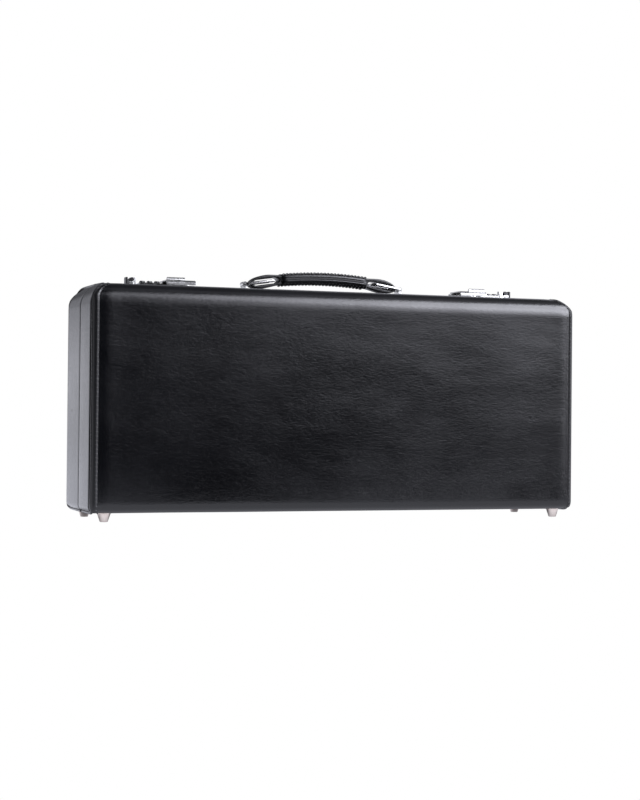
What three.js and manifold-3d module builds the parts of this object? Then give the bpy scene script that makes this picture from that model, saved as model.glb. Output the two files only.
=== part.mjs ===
// Hard clarinet case in leather over board, standing on four metal feet. The front shell is the lid, hinged
// along the bottom, and the rear shell is the base, which carries the handle and the two combination locks.
// Millimetres, +Z up, +X along the case, -Y towards the front. The origin is on the floor under the middle.
import * as THREE from 'three';
import { mergeVertices } from 'three/addons/utils/BufferGeometryUtils.js';
import Module from 'manifold-3d';

const wasm = await Module();
wasm.setup();

// Case
const caseLength = 532;
const caseHeight = 228;
const caseDepth = 124.6;
const lidDepth = 55.3;
const cornerRadius = 22;
const lowerCornerRadius = 7;
const rollRadius = 20;
const lowerRollRadius = 9;
const leatherThickness = 1.2;
const boardThickness = 4;
const curvedGap = 0.3;
const partingGap = 0.8;
const overrun = 5;

// Piped edges
const edgeZone = 8;
const edgeRecess = 2.5;
const edgeSlope = 1.2;
const edgeRadius = 4;
const beadRadius = 1.5;
const beadSink = 0.55;
const beadSetback = 5.5;
const beadEndGap = 0.6;
const seamGap = 0.3;

// Feet
const footHeight = 9;
const footTopRadius = 7;
const footBottomRadius = 4.2;
const footEdge = 0.8;
const footStudRadius = 2;
const footStudLength = 4;
const footFromEnd = 17.5;
const footFromFace = 16.3;

// Bottom hinge
const hingeLength = 440;
const hingeLeafWidth = 12;
const hingeLeafThickness = 0.8;
const hingeBarrelRadius = 1.8;
const hingePinRadius = 0.8;
const hingePinHead = 1;
const knuckleCount = 11;
const knuckleGap = 0.5;
const runningGap = 0.3;

// Tongue round the mouth of the base, and the linings
const tongueThickness = 1.6;
const tongueReach = 8;
const tongueGap = 0.6;
const insertSetback = 8;
const recessFloorInset = 17.3;
const liningThickness = 8;

// Tray: recesses for the joints, the bells and the small pieces, and the accessory box
const trayEdge = 8;
const trayFloor = 15;
const trayCeiling = 13;
const trayWall = 8;
const jointCount = 4;
const bellLength = 115;
const bellCount = 2;
const smallLength = 99;
const smallCount = 3;
const recessCorner = 14;
const boxHeight = 42;
const boxCorner = 1;
const boxLidThickness = 5;
const boxLidGap = 1;
const boxPivotInset = 3.5;
const boxPinRadius = 1.2;
const boxPinReach = 4;
const tabWidth = 12;
const tabLength = 14;
const tabThickness = 1.2;
const tabOverlap = 6;

// Locks, measured outwards from the inner end of the lock plate and upwards from the top of the case
const lockFromEnd = 44;
const lockLength = 74.5;
const lockFrontSetback = 1;
const lockDepth = 19;
const lockPlateThickness = 1.4;
const dialOffset = 37.1;
const dialPitch = 7.7;
const dialCount = 3;
const dialWidth = 5.3;
const dialRadius = 5.6;
const dialTop = 7.3;
const dialSetback = 10.2;
const dialBore = 1.6;
const axleRadius = 1.3;
const bankWall = 1;
const bankTop = 5;
const bankHalfWidth = 6;
const wellHalfWidth = 7;
const wellDepth = 5.2;
const wheelGap = 0.35;
const knobOffset = 58.5;
const knobLength = 12;
const knobWidth = 9;
const knobTop = 10.5;
const knobDip = 2.6;
const knobHorn = 2;
const knobTravel = 3;
const knobStemInset = 3.5;
const knobStemWidth = 5;
const knobStemDepth = 0.9;

// Hasps and keepers
const haspOffset = 1.5;
const haspWidth = 31.2;
const haspFrontReach = 13;
const haspTop = 7.6;
const haspThickness = 1.2;
const haspSkirtBottom = 2.8;
const haspPivotHeight = 4;
const haspPivotSetback = 17;
const haspBarrelRadius = 1.7;
const haspEarWidth = 2.7;
const haspEarRadius = 2.2;
const haspPinRadius = 0.8;
const lipOffset = 11;
const lipLength = 19;
const lipTop = 10.5;
const lipThickness = 1.6;
const keeperMargin = 0.6;
const keeperThickness = 1.4;
const keeperFrontReach = 15;
const keeperRidgeTop = 2.4;
const keeperRidgeWidth = 2.6;
const keeperRidgeSetback = 3;

// Handle
const handleSetback = 18.5;
const postPivotX = 88;
const postPivotHeight = 8.3;
const postPlateLength = 13.5;
const postPlateOuterX = 95;
const postPlateWidth = 16;
const postPlateThickness = 1.6;
const postEyeRadius = 2.8;
const postEyeWidth = 11;
const postWebLength = 4;
const ringWire = 3;
const ringReach = 31.5;
const ringInnerWidth = 15.2;
const ringBend = 4;
const ringRestAngle = 8.5;
const gripEndX = 83.2;
const gripMiddleHeight = 16.8;
const gripEndDrop = 8.1;
const gripPadHalf = 6;
const gripPadEndX = 48;
const loopHalf = 7;
const loopLength = 17;
const strapWidth = 14;
const padWidth = 20;
const padRounding = 3;
const eyeTipX = 50.5;
const eyeFullX = 56;
const eyeEndX = 79;
const eyeHalf = 3.1;

// Numbers of facets and steps
const arcSegments = 3;
const tubeSides = 8;
const roundSides = 12;
const wheelSides = 20;
const footSides = 24;
const gripSteps = 28;
const padSteps = 10;
const eyeSteps = 5;
const bevelSteps = 2;
const topArcSteps = 6;
const lowerArcSteps = 3;

// Places worked out from the sizes
const endX = caseLength / 2;
const frontY = -caseDepth / 2;
const backY = caseDepth / 2;
const partY = frontY + lidDepth;
const bottomZ = footHeight;
const topZ = bottomZ + caseHeight;
const middleZ = (bottomZ + topZ) / 2;
const coverInset = leatherThickness + curvedGap;
const wallInset = coverInset + boardThickness;
const liningInset = wallInset + curvedGap;
const lidEdgeY = partY - partingGap / 2;
const baseEdgeY = partY + partingGap / 2;
const hingeZ = bottomZ - hingeLeafThickness / 2;
const handleY = partY + handleSetback;
const dialY = partY + dialSetback;
const dialZ = topZ + dialTop - dialRadius;
const insertY = partY + insertSetback;
const lockOuterX = endX - lockFromEnd;
const lockInnerX = lockOuterX - lockLength;
const dialFirstX = lockInnerX + dialOffset;
const knobInnerX = lockInnerX + knobOffset;
const haspInnerX = lockInnerX + haspOffset;
const haspOuterX = haspInnerX + haspWidth;
const sides = [-1, 1];
const sideName = (side) => (side < 0 ? 'left' : 'right');

const leather = { color: 0x1d1e20, roughness: 0.42, metalness: 0 };
const edgeLeather = { color: 0x17181a, roughness: 0.5, metalness: 0 };
const plush = { color: 0x20242e, roughness: 0.95, metalness: 0 };
const board = { color: 0x6d5a43, roughness: 0.8, metalness: 0 };
const nickel = { color: 0xc9c9c7, roughness: 0.2, metalness: 1 };
const warmNickel = { color: 0xc4b3a4, roughness: 0.25, metalness: 1 };
const steel = { color: 0x8d9094, roughness: 0.35, metalness: 1 };
const darkWheel = { color: 0x2a2b2d, roughness: 0.4, metalness: 0.6 };

// A closed three.js geometry as a solid that can be joined and cut
function solidOf(geometry) {
  const plain = geometry.index ? geometry.toNonIndexed() : geometry;
  plain.deleteAttribute('normal');
  plain.deleteAttribute('uv');
  const merged = mergeVertices(plain, 1e-4);
  return new wasm.Manifold(new wasm.Mesh({
    numProp: 3,
    vertProperties: new Float32Array(merged.attributes.position.array),
    triVerts: new Uint32Array(merged.index.array),
  }));
}

const group = new THREE.Group();

// A named mesh of its own material, from a solid
function addPiece(name, solid, finish) {
  const data = solid.getMesh();
  const geometry = new THREE.BufferGeometry();
  geometry.setAttribute('position', new THREE.BufferAttribute(new Float32Array(data.vertProperties), 3));
  geometry.setIndex(new THREE.BufferAttribute(new Uint32Array(data.triVerts), 1));
  geometry.computeVertexNormals();
  const mesh = new THREE.Mesh(geometry, new THREE.MeshStandardMaterial(finish));
  mesh.name = name;
  group.add(mesh);
  return mesh;
}

// The largest body of a cut, without the crumbs that the piping's channel leaves beside it
function trimmed(solid) {
  return solid.decompose().reduce((largest, body) => (body.volume() > largest.volume() ? body : largest));
}

// A box between two corners, in any order
function block(x0, x1, y0, y1, z0, z1) {
  const geometry = new THREE.BoxGeometry(Math.abs(x1 - x0), Math.abs(y1 - y0), Math.abs(z1 - z0));
  geometry.translate((x0 + x1) / 2, (y0 + y1) / 2, (z0 + z1) / 2);
  return solidOf(geometry);
}

// A rectangle with one radius for its lower corners and one for its upper ones
function roundedOutline(x0, x1, z0, z1, lowerRadius, upperRadius) {
  const shape = new THREE.Shape();
  shape.absarc(x1 - lowerRadius, z0 + lowerRadius, lowerRadius, -Math.PI / 2, 0);
  shape.absarc(x1 - upperRadius, z1 - upperRadius, upperRadius, 0, Math.PI / 2);
  shape.absarc(x0 + upperRadius, z1 - upperRadius, upperRadius, Math.PI / 2, Math.PI);
  shape.absarc(x0 + lowerRadius, z0 + lowerRadius, lowerRadius, Math.PI, 1.5 * Math.PI);
  return shape;
}

function extruded(shape, depth, options = {}) {
  return new THREE.ExtrudeGeometry(shape, {
    depth, curveSegments: arcSegments, bevelEnabled: false, ...options,
  });
}

// An outline drawn in X and Z, run from y0 to y1
function prismAlongY(shape, y0, y1) {
  const geometry = extruded(shape, y1 - y0);
  geometry.rotateX(Math.PI / 2);
  geometry.translate(0, y1, 0);
  return solidOf(geometry);
}

// An outline drawn in Y and Z, run from x0 to x1
function prismAlongX(shape, x0, x1) {
  const geometry = extruded(shape, x1 - x0);
  const turn = new THREE.Matrix4().makeBasis(
    new THREE.Vector3(0, 1, 0), new THREE.Vector3(0, 0, 1), new THREE.Vector3(1, 0, 0));
  geometry.applyMatrix4(turn);
  geometry.translate(x0, 0, 0);
  return solidOf(geometry);
}

// An outline drawn in X and Y, run from z0 to z1
function prismAlongZ(shape, z0, z1) {
  const geometry = extruded(shape, z1 - z0);
  geometry.translate(0, 0, z0);
  return solidOf(geometry);
}

function rodAlongX(radius, x0, x1, y, z, count = roundSides) {
  const geometry = new THREE.CylinderGeometry(radius, radius, Math.abs(x1 - x0), count);
  geometry.rotateZ(Math.PI / 2);
  geometry.translate((x0 + x1) / 2, y, z);
  return solidOf(geometry);
}

function rodAlongY(radius, x, y0, y1, z, count = roundSides) {
  const geometry = new THREE.CylinderGeometry(radius, radius, Math.abs(y1 - y0), count);
  geometry.translate(x, (y0 + y1) / 2, z);
  return solidOf(geometry);
}

// The plan of the case, with the ends stepped in beside the upright piped edges
function planOutline(inset) {
  const flatX = endX - inset;
  const edgeX = endX - edgeRecess - inset;
  const radius = Math.max(edgeRadius - inset, leatherThickness / 2);
  const faceY = backY - inset;
  const stepY = backY - edgeZone;
  const slopeY = stepY + edgeSlope;
  const arcX = edgeX - radius;
  const arcY = faceY - radius;
  const shape = new THREE.Shape();
  shape.moveTo(flatX, -stepY);
  shape.lineTo(flatX, stepY);
  if (slopeY < arcY) shape.lineTo(edgeX, slopeY);
  shape.absarc(arcX, arcY, radius, 0, Math.PI / 2);
  shape.absarc(-arcX, arcY, radius, Math.PI / 2, Math.PI);
  if (slopeY < arcY) shape.lineTo(-edgeX, slopeY);
  shape.lineTo(-flatX, stepY);
  shape.lineTo(-flatX, -stepY);
  if (slopeY < arcY) shape.lineTo(-edgeX, -slopeY);
  shape.absarc(-arcX, -arcY, radius, Math.PI, 1.5 * Math.PI);
  shape.absarc(arcX, -arcY, radius, 1.5 * Math.PI, 2 * Math.PI);
  if (slopeY < arcY) shape.lineTo(edgeX, -slopeY);
  shape.closePath();
  return shape;
}

// The whole closed case, drawn in from its outside by an inset
function caseSolid(inset) {
  const least = leatherThickness / 2;
  const lowZ = bottomZ + inset;
  const highZ = topZ - inset;
  const frontOutline = roundedOutline(-endX + inset, endX - inset, lowZ, highZ,
    Math.max(lowerCornerRadius - inset, least), Math.max(cornerRadius - inset, least));
  const endOutline = roundedOutline(frontY + inset, backY - inset, lowZ, highZ,
    Math.max(lowerRollRadius - inset, least), Math.max(rollRadius - inset, least));
  return prismAlongY(frontOutline, frontY - overrun, backY + overrun)
    .intersect(prismAlongX(endOutline, -endX - overrun, endX + overrun))
    .intersect(prismAlongZ(planOutline(inset), bottomZ - overrun, topZ + overrun));
}

// Everything in front of, or behind, the plane where the two shells meet
const frontHalf = block(-endX - overrun, endX + overrun, frontY - overrun, lidEdgeY,
  -overrun, topZ + overrun);
const rearHalf = block(-endX - overrun, endX + overrun, baseEdgeY, backY + overrun, -overrun, topZ + overrun);

const outside = caseSolid(0);
const underLeather = caseSolid(leatherThickness);
const boardOutside = caseSolid(coverInset);
const boardInside = caseSolid(wallInset);

// Centre line of one piped edge: over the top from the parting, round the corner, down the upright edge and
// back under the bottom. Its steps are spread by stretch, so the straight runs take one each. Its ends lie
// short of the edge of the shell by an end gap, which is below zero for a channel that runs out past it.
class PipedEdge extends THREE.Curve {
  constructor(sideX, sideY, endGap) {
    super();
    this.sideX = sideX;
    this.sideY = sideY;
    this.endGap = endGap;
    this.points = [this.corner(1, Math.PI / 2, true)];
    for (let step = topArcSteps; step >= 0; step -= 1) {
      this.points.push(this.corner(1, step / topArcSteps * Math.PI / 2));
    }
    for (let step = 0; step <= lowerArcSteps; step += 1) {
      this.points.push(this.corner(-1, step / lowerArcSteps * Math.PI / 2));
    }
    this.points.push(this.corner(-1, Math.PI / 2, true));
  }

  // A point of the corner, turned by an angle from the upright edge, above or below
  corner(up, angle, atParting = false) {
    const outlineRadius = up > 0 ? cornerRadius : lowerCornerRadius;
    const faceRadius = up > 0 ? rollRadius : lowerRollRadius;
    const wallZ = up > 0 ? topZ : bottomZ;
    const outlineX = endX - outlineRadius + (outlineRadius - beadSink) * Math.cos(angle);
    const x = Math.min(outlineX, endX - edgeRecess - beadSink);
    const rise = outlineRadius * (1 - Math.sin(angle));
    const z = wallZ - up * (rise + beadSink * Math.sin(angle));
    const sine = Math.max(0, 1 - rise / faceRadius);
    const faceY = backY - faceRadius * (1 - Math.sqrt(1 - Math.min(1, sine) ** 2));
    const edgeY = (this.sideY < 0 ? lidEdgeY : baseEdgeY) + this.sideY * this.endGap;
    const y = atParting ? edgeY : this.sideY * (faceY - beadSetback);
    return new THREE.Vector3(this.sideX * x, y, z);
  }

  getUtoTmapping(u) {
    return u;
  }

  getPoint(t, target = new THREE.Vector3()) {
    const place = Math.min(Math.max(t, 0), 1) * (this.points.length - 1);
    const index = Math.min(Math.floor(place), this.points.length - 2);
    return target.copy(this.points[index]).lerp(this.points[index + 1], place - index);
  }
}

function tubeAlong(path, radius) {
  const section = new THREE.Shape();
  for (let side = 0; side < tubeSides; side += 1) {
    const angle = (side + 0.5) / tubeSides * 2 * Math.PI;
    const x = radius * Math.cos(angle);
    const y = radius * Math.sin(angle);
    if (side === 0) section.moveTo(x, y);
    else section.lineTo(x, y);
  }
  section.closePath();
  return solidOf(new THREE.ExtrudeGeometry(section, { steps: path.points.length - 1, extrudePath: path }));
}

// The part of the leather that belongs to one end panel, as a plan on each side of mid height that follows
// the piping
function endRegion(sideX, sideY, grow) {
  const path = new PipedEdge(sideX, sideY, beadEndGap);
  const outerX = sideX * (endX + overrun);
  const regions = [[1, topArcSteps], [-1, lowerArcSteps]].map(([up, steps]) => {
    const shape = new THREE.Shape();
    shape.moveTo(outerX, partY);
    shape.lineTo(path.corner(up, Math.PI / 2).x - sideX * grow, partY);
    for (let step = steps; step >= 0; step -= 1) {
      const point = path.corner(up, step / steps * Math.PI / 2);
      shape.lineTo(point.x - sideX * grow, point.y + sideY * grow);
    }
    shape.lineTo(outerX, path.corner(up, 0).y + sideY * grow);
    shape.closePath();
    const farZ = up > 0 ? topZ + overrun : bottomZ - overrun;
    return prismAlongZ(shape, Math.min(middleZ, farZ), Math.max(middleZ, farZ));
  });
  return regions[0].add(regions[1]);
}

// What is cut out of both shells round the hinge barrel
const hingeChannel = rodAlongX(hingeBarrelRadius + runningGap, -hingeLength / 2 - hingePinHead - runningGap,
  hingeLength / 2 + hingePinHead + runningGap, partY, hingeZ);

// A tapered foot with the stud that holds it
function footSolid(x, y) {
  const profile = [
    [0, 0], [footBottomRadius - footEdge, 0], [footBottomRadius, footEdge],
    [footTopRadius, footHeight - footEdge],
    [footTopRadius, footHeight], [footStudRadius, footHeight], [footStudRadius, footHeight + footStudLength],
    [0, footHeight + footStudLength],
  ].map(([radius, height]) => new THREE.Vector2(radius, height));
  const geometry = new THREE.LatheGeometry(profile, footSides);
  geometry.rotateX(Math.PI / 2);
  geometry.translate(x, y, 0);
  return solidOf(geometry);
}

function footHole(x, y) {
  const geometry = new THREE.CylinderGeometry(footStudRadius + curvedGap, footStudRadius + curvedGap,
    footStudLength + curvedGap + overrun, roundSides);
  geometry.rotateX(Math.PI / 2);
  geometry.translate(x, y, footHeight + (footStudLength + curvedGap - overrun) / 2);
  return solidOf(geometry);
}

// Openings that one lock needs in the top wall of the base: the well of the wheels and the slot of the knob
const bankInnerX = dialFirstX - dialWidth / 2 - wheelGap - bankWall;
const bankOuterX = dialFirstX + dialPitch * (dialCount - 1) + dialWidth / 2 + wheelGap + bankWall;
const stemInnerX = knobInnerX + knobStemInset;
const stemOuterX = knobInnerX + knobLength - knobStemInset;

function knobSlot(side, gap, lowZ, highZ) {
  return block(side * (stemInnerX - gap), side * (stemOuterX + knobTravel + gap),
    dialY - knobStemWidth / 2 - gap, dialY + knobStemWidth / 2 + gap, lowZ, highZ);
}

function lockCuts(side) {
  const well = block(side * (bankInnerX - curvedGap), side * (bankOuterX + curvedGap),
    dialY - wellHalfWidth - curvedGap, dialY + wellHalfWidth + curvedGap,
    topZ - wellDepth - curvedGap, topZ + overrun);
  return well.add(knobSlot(side, 2 * curvedGap, topZ - knobStemDepth - curvedGap, topZ + overrun));
}

// Shells, leather and piping, one set for the lid and one for the base
function addShell(label, sideY, halfSpace) {
  let cuts = hingeChannel;
  for (const side of sides) {
    cuts = cuts.add(footHole(side * (endX - footFromEnd), sideY * (backY - footFromFace)));
    cuts = cuts.add(tubeAlong(new PipedEdge(side, sideY, -overrun), beadRadius + curvedGap));
    if (sideY > 0) cuts = cuts.add(lockCuts(side));
  }
  const shell = boardOutside.subtract(boardInside).intersect(halfSpace).subtract(cuts);
  addPiece(`${label}_shell`, shell, board);

  const skin = outside.subtract(underLeather).intersect(halfSpace).subtract(cuts);
  let cover = skin;
  for (const side of sides) {
    cover = cover.subtract(endRegion(side, sideY, seamGap));
    const panel = skin.intersect(endRegion(side, sideY, 0));
    addPiece(`${label}_end_cover_${sideName(side)}`, trimmed(panel), leather);
    addPiece(`${label}_piping_${sideName(side)}`,
      tubeAlong(new PipedEdge(side, sideY, beadEndGap), beadRadius), edgeLeather);
    addPiece(`${label}_foot_${sideName(side)}`,
      footSolid(side * (endX - footFromEnd), sideY * (backY - footFromFace)), warmNickel);
  }
  addPiece(`${label}_cover`, trimmed(cover), leather);
}

addShell('lid', -1, frontHalf);
addShell('base', 1, rearHalf);

// Hinge: two leaves with alternate knuckles on one pin
const knucklePitch = hingeLength / knuckleCount;

function hingeLeaf(direction, firstKnuckle) {
  const nearY = partY + direction * (hingeBarrelRadius + knuckleGap);
  const farY = partY + direction * hingeLeafWidth;
  const lowZ = bottomZ - hingeLeafThickness;
  let leaf = block(-hingeLength / 2, hingeLength / 2, nearY, farY, lowZ, bottomZ);
  for (let index = firstKnuckle; index < knuckleCount; index += 2) {
    const x0 = -hingeLength / 2 + index * knucklePitch + knuckleGap / 2;
    const x1 = x0 + knucklePitch - knuckleGap;
    leaf = leaf.add(rodAlongX(hingeBarrelRadius, x0, x1, partY, hingeZ));
    leaf = leaf.add(block(x0, x1, partY, (nearY + farY) / 2, lowZ, bottomZ));
  }
  return leaf.subtract(rodAlongX(hingePinRadius + runningGap, -hingeLength, hingeLength, partY, hingeZ));
}

addPiece('base_hinge_leaf', hingeLeaf(1, 0), steel);
addPiece('lid_hinge_leaf', hingeLeaf(-1, 1), steel);
const pinEnd = hingeLength / 2 + runningGap;
addPiece('hinge_pin', rodAlongX(hingePinRadius, -pinEnd, pinEnd, partY, hingeZ, tubeSides)
  .add(rodAlongX(hingeBarrelRadius, -pinEnd - hingePinHead, -pinEnd + runningGap / 2, partY, hingeZ))
  .add(rodAlongX(hingeBarrelRadius, pinEnd - runningGap / 2, pinEnd + hingePinHead, partY, hingeZ)), steel);

// Tongue of the base, which the lid closes over
const tongueBand = block(-endX, endX, baseEdgeY - tongueReach, insertY - curvedGap, 0, topZ);
addPiece('base_tongue', caseSolid(wallInset + tongueGap)
  .subtract(caseSolid(wallInset + tongueGap + tongueThickness)).intersect(tongueBand), edgeLeather);

// Tray in the base, with its recesses
const trayLeftX = -endX + wallInset + trayEdge;
const smallX = -trayLeftX - smallLength;
const bellX = smallX - trayWall - bellLength;
const jointLength = bellX - trayWall - trayLeftX;
const trayLowZ = bottomZ + trayFloor;
const trayHighZ = topZ - trayCeiling;
const recessY = backY - recessFloorInset;

function recess(x0, z0, length, height, corner) {
  const outline = roundedOutline(x0, x0 + length, z0, z0 + height, corner, corner);
  return prismAlongY(outline, insertY - overrun, recessY);
}

// Recesses one above the other, which share the height from lowZ to the top of the tray
function recessColumn(x0, lowZ, length, count) {
  const height = (trayHighZ - lowZ - trayWall * (count - 1)) / count;
  const column = [];
  for (let index = 0; index < count; index += 1) {
    column.push(recess(x0, lowZ + index * (height + trayWall), length, height, recessCorner));
  }
  return column;
}

let tray = caseSolid(liningInset).intersect(block(-endX, endX, insertY, backY, 0, topZ));
const recesses = [
  ...recessColumn(trayLeftX, trayLowZ, jointLength, jointCount),
  ...recessColumn(bellX, trayLowZ, bellLength, bellCount),
  ...recessColumn(smallX, trayLowZ + boxHeight + trayWall, smallLength, smallCount),
];
for (const hollow of recesses) tray = tray.subtract(hollow);
tray = tray.subtract(recess(smallX, trayLowZ, smallLength, boxHeight, boxCorner));

// Accessory box lid, turning on two pins near its lower edge, with a pull tab at its upper edge
const boxPivotY = insertY + boxLidThickness / 2;
const boxPivotZ = trayLowZ + boxPivotInset + boxLidGap;
const boxLidX0 = smallX + boxLidGap;
const boxLidX1 = smallX + smallLength - boxLidGap;
const boxLidTop = trayLowZ + boxHeight - boxLidGap;
tray = tray.subtract(rodAlongX(boxPinRadius + runningGap, boxLidX0 - boxPinReach - runningGap,
  boxLidX1 + boxPinReach + runningGap, boxPivotY, boxPivotZ));
addPiece('base_tray', tray, plush);

const boxLid = block(boxLidX0, boxLidX1, insertY, insertY + boxLidThickness, trayLowZ + boxLidGap, boxLidTop);
addPiece('accessory_lid', boxLid.add(rodAlongX(boxPinRadius, boxLidX0 - boxPinReach, boxLidX1 + boxPinReach,
  boxPivotY, boxPivotZ)), plush);

const tabX = (boxLidX0 + boxLidX1) / 2;
addPiece('accessory_tab', prismAlongY(roundedOutline(tabX - tabWidth / 2, tabX + tabWidth / 2,
  boxLidTop - tabOverlap, boxLidTop - tabOverlap + tabLength, tabThickness, tabWidth / 4),
insertY - tabThickness, insertY), edgeLeather);

// Padded lining of the lid
const liningY = frontY + liningInset;
addPiece('lid_lining', caseSolid(liningInset)
  .intersect(block(-endX, endX, liningY - overrun, liningY + liningThickness, 0, topZ)), plush);

// Locks
function addLock(side) {
  const label = sideName(side);
  const frontEdge = baseEdgeY + lockFrontSetback;
  const plateTop = topZ + lockPlateThickness;
  const axleX0 = side * (bankInnerX + bankWall / 2);
  const axleX1 = side * (bankOuterX - bankWall / 4);
  let body = block(side * lockInnerX, side * lockOuterX, frontEdge, frontEdge + lockDepth, topZ, plateTop);
  body = body.add(block(side * bankInnerX, side * bankOuterX, dialY - bankHalfWidth, dialY + bankHalfWidth,
    topZ, topZ + bankTop));
  body = body.add(block(side * bankInnerX, side * bankOuterX, dialY - wellHalfWidth, dialY + wellHalfWidth,
    topZ - wellDepth, plateTop));
  for (let index = 0; index < dialCount; index += 1) {
    const x = dialFirstX + index * dialPitch;
    body = body.subtract(rodAlongX(dialRadius + wheelGap, side * (x - dialWidth / 2 - wheelGap),
      side * (x + dialWidth / 2 + wheelGap), dialY, dialZ, wheelSides));
  }
  body = body.subtract(rodAlongX(dialBore, axleX0 - side * runningGap, side * (bankOuterX + overrun),
    dialY, dialZ).intersect(block(side * bankInnerX, side * (bankOuterX + overrun), dialY - dialRadius,
    dialY + dialRadius, topZ - wellDepth, topZ + bankTop)));
  body = body.subtract(knobSlot(side, curvedGap, topZ - overrun, plateTop + overrun));

  // Ears of the hasp's hinge
  const pivotY = frontEdge + haspPivotSetback;
  const pivotZ = topZ + haspPivotHeight;
  const earSpans = [[haspInnerX, haspInnerX + haspEarWidth], [haspOuterX - haspEarWidth, haspOuterX]];
  for (const [near, far] of earSpans) {
    body = body.add(rodAlongX(haspEarRadius, side * near, side * far, pivotY, pivotZ));
    body = body.add(block(side * near, side * far, pivotY - haspEarRadius, pivotY + haspEarRadius,
      topZ, pivotZ));
  }
  body = body.subtract(rodAlongX(haspPinRadius + runningGap, side * (haspInnerX - overrun),
    side * (haspOuterX + curvedGap), pivotY, pivotZ));
  addPiece(`lock_body_${label}`, body, nickel);
  addPiece(`dial_axle_${label}`, rodAlongX(axleRadius, axleX0, axleX1, dialY, dialZ), steel);
  addPiece(`hasp_pin_${label}`, rodAlongX(haspPinRadius, side * haspInnerX, side * haspOuterX,
    pivotY, pivotZ, tubeSides), steel);

  // Number wheels
  for (let index = 0; index < dialCount; index += 1) {
    const x = dialFirstX + index * dialPitch;
    const x0 = side * (x - dialWidth / 2);
    const x1 = side * (x + dialWidth / 2);
    const wheel = rodAlongX(dialRadius, x0, x1, dialY, dialZ, wheelSides)
      .subtract(rodAlongX(dialBore, side * (x - dialWidth), side * (x + dialWidth), dialY, dialZ));
    addPiece(`dial_${label}_${index + 1}`, wheel, darkWheel);
  }

  // Thumb knob, hollowed on top between two raised ends
  const knobX0 = side * knobInnerX;
  const knobX1 = side * (knobInnerX + knobLength);
  const knobFoot = plateTop + curvedGap;
  const outline = new THREE.Shape();
  outline.moveTo(knobX0, knobFoot);
  outline.lineTo(knobX1, knobFoot);
  outline.lineTo(knobX1, topZ + knobTop);
  outline.lineTo(knobX1 - side * knobHorn, topZ + knobTop);
  outline.quadraticCurveTo((knobX0 + knobX1) / 2, topZ + knobTop - 2 * knobDip,
    knobX0 + side * knobHorn, topZ + knobTop);
  outline.lineTo(knobX0, topZ + knobTop);
  outline.closePath();
  const stem = block(side * stemInnerX, side * stemOuterX,
    dialY - knobStemWidth / 2, dialY + knobStemWidth / 2, topZ - knobStemDepth, knobFoot + curvedGap);
  const thumbPiece = prismAlongY(outline, dialY - knobWidth / 2, dialY + knobWidth / 2);
  addPiece(`lock_knob_${label}`, thumbPiece.add(stem), nickel);

  // Hasp: a plate with a hooked front edge and a finger lip, on a barrel between the ears
  const haspFront = partY - haspFrontReach;
  const plateLow = topZ + haspTop - haspThickness;
  const plateHigh = topZ + haspTop;
  const clearOfEar = pivotY - haspEarRadius - curvedGap;
  const innerBarrel = haspInnerX + haspEarWidth + curvedGap;
  const outerBarrel = haspOuterX - haspEarWidth - curvedGap;
  let hasp = block(side * haspInnerX, side * haspOuterX, haspFront, clearOfEar, plateLow, plateHigh);
  hasp = hasp.add(block(side * haspInnerX, side * haspOuterX, haspFront, haspFront + haspThickness,
    topZ + haspSkirtBottom, plateHigh));
  const lipInnerX = haspInnerX + lipOffset;
  hasp = hasp.add(block(side * lipInnerX, side * (lipInnerX + lipLength), haspFront, haspFront + lipThickness,
    plateLow, topZ + lipTop));
  hasp = hasp.add(block(side * innerBarrel, side * outerBarrel, clearOfEar - haspThickness,
    pivotY + haspBarrelRadius, plateLow, plateHigh));
  hasp = hasp.add(block(side * innerBarrel, side * outerBarrel, pivotY - haspBarrelRadius,
    pivotY + haspBarrelRadius, pivotZ, plateHigh));
  hasp = hasp.add(rodAlongX(haspBarrelRadius, side * innerBarrel, side * outerBarrel, pivotY, pivotZ));
  hasp = hasp.subtract(rodAlongX(haspPinRadius + runningGap, side * (haspInnerX - overrun),
    side * (haspOuterX + overrun), pivotY, pivotZ));
  addPiece(`hasp_${label}`, hasp, nickel);

  // Keeper on the lid, which the hasp closes over
  const keeperFront = partY - keeperFrontReach;
  const ridgeFront = haspFront + keeperRidgeSetback;
  const keeperX0 = side * (haspInnerX + keeperMargin);
  const keeperX1 = side * (haspOuterX - keeperMargin);
  const keeper = block(keeperX0, keeperX1, keeperFront, lidEdgeY - curvedGap,
    topZ, topZ + keeperThickness)
    .add(block(keeperX0, keeperX1, ridgeFront, ridgeFront + keeperRidgeWidth,
      topZ, topZ + keeperRidgeTop));
  addPiece(`keeper_${label}`, keeper, nickel);
}

sides.forEach(addLock);

// Handle: two posts, two oblong rings and the padded grip with a strap loop at each end. The grip bows down
// from its middle, and each loop tapers to its end.
function loopHalfHeight(x) {
  const reach = Math.abs(x);
  const fullX = gripEndX - loopLength;
  if (reach >= fullX) return loopHalf * Math.sqrt(Math.max(0, 1 - ((reach - fullX) / loopLength) ** 2));
  return gripPadHalf + (loopHalf - gripPadHalf) * THREE.MathUtils.smoothstep(reach, gripPadEndX, fullX);
}

function gripCentre(x) {
  return topZ + gripMiddleHeight - gripEndDrop * (x / gripEndX) ** 2;
}

// The side view of the grip out to a reach each way, at stations that a function of a share from -1 to 1
// spreads
function gripOutline(reach, halfHeight, steps, spread) {
  const shape = new THREE.Shape();
  const stations = [];
  for (let step = 0; step <= steps; step += 1) stations.push(reach * spread(2 * step / steps - 1));
  stations.forEach((x, index) => {
    const z = gripCentre(x) - halfHeight(x);
    if (index === 0) shape.moveTo(x, z);
    else shape.lineTo(x, z);
  });
  const back = halfHeight(reach) > 0 ? [...stations].reverse() : stations.slice(1, -1).reverse();
  back.forEach((x) => shape.lineTo(x, gripCentre(x) + halfHeight(x)));
  shape.closePath();
  return shape;
}

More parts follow.
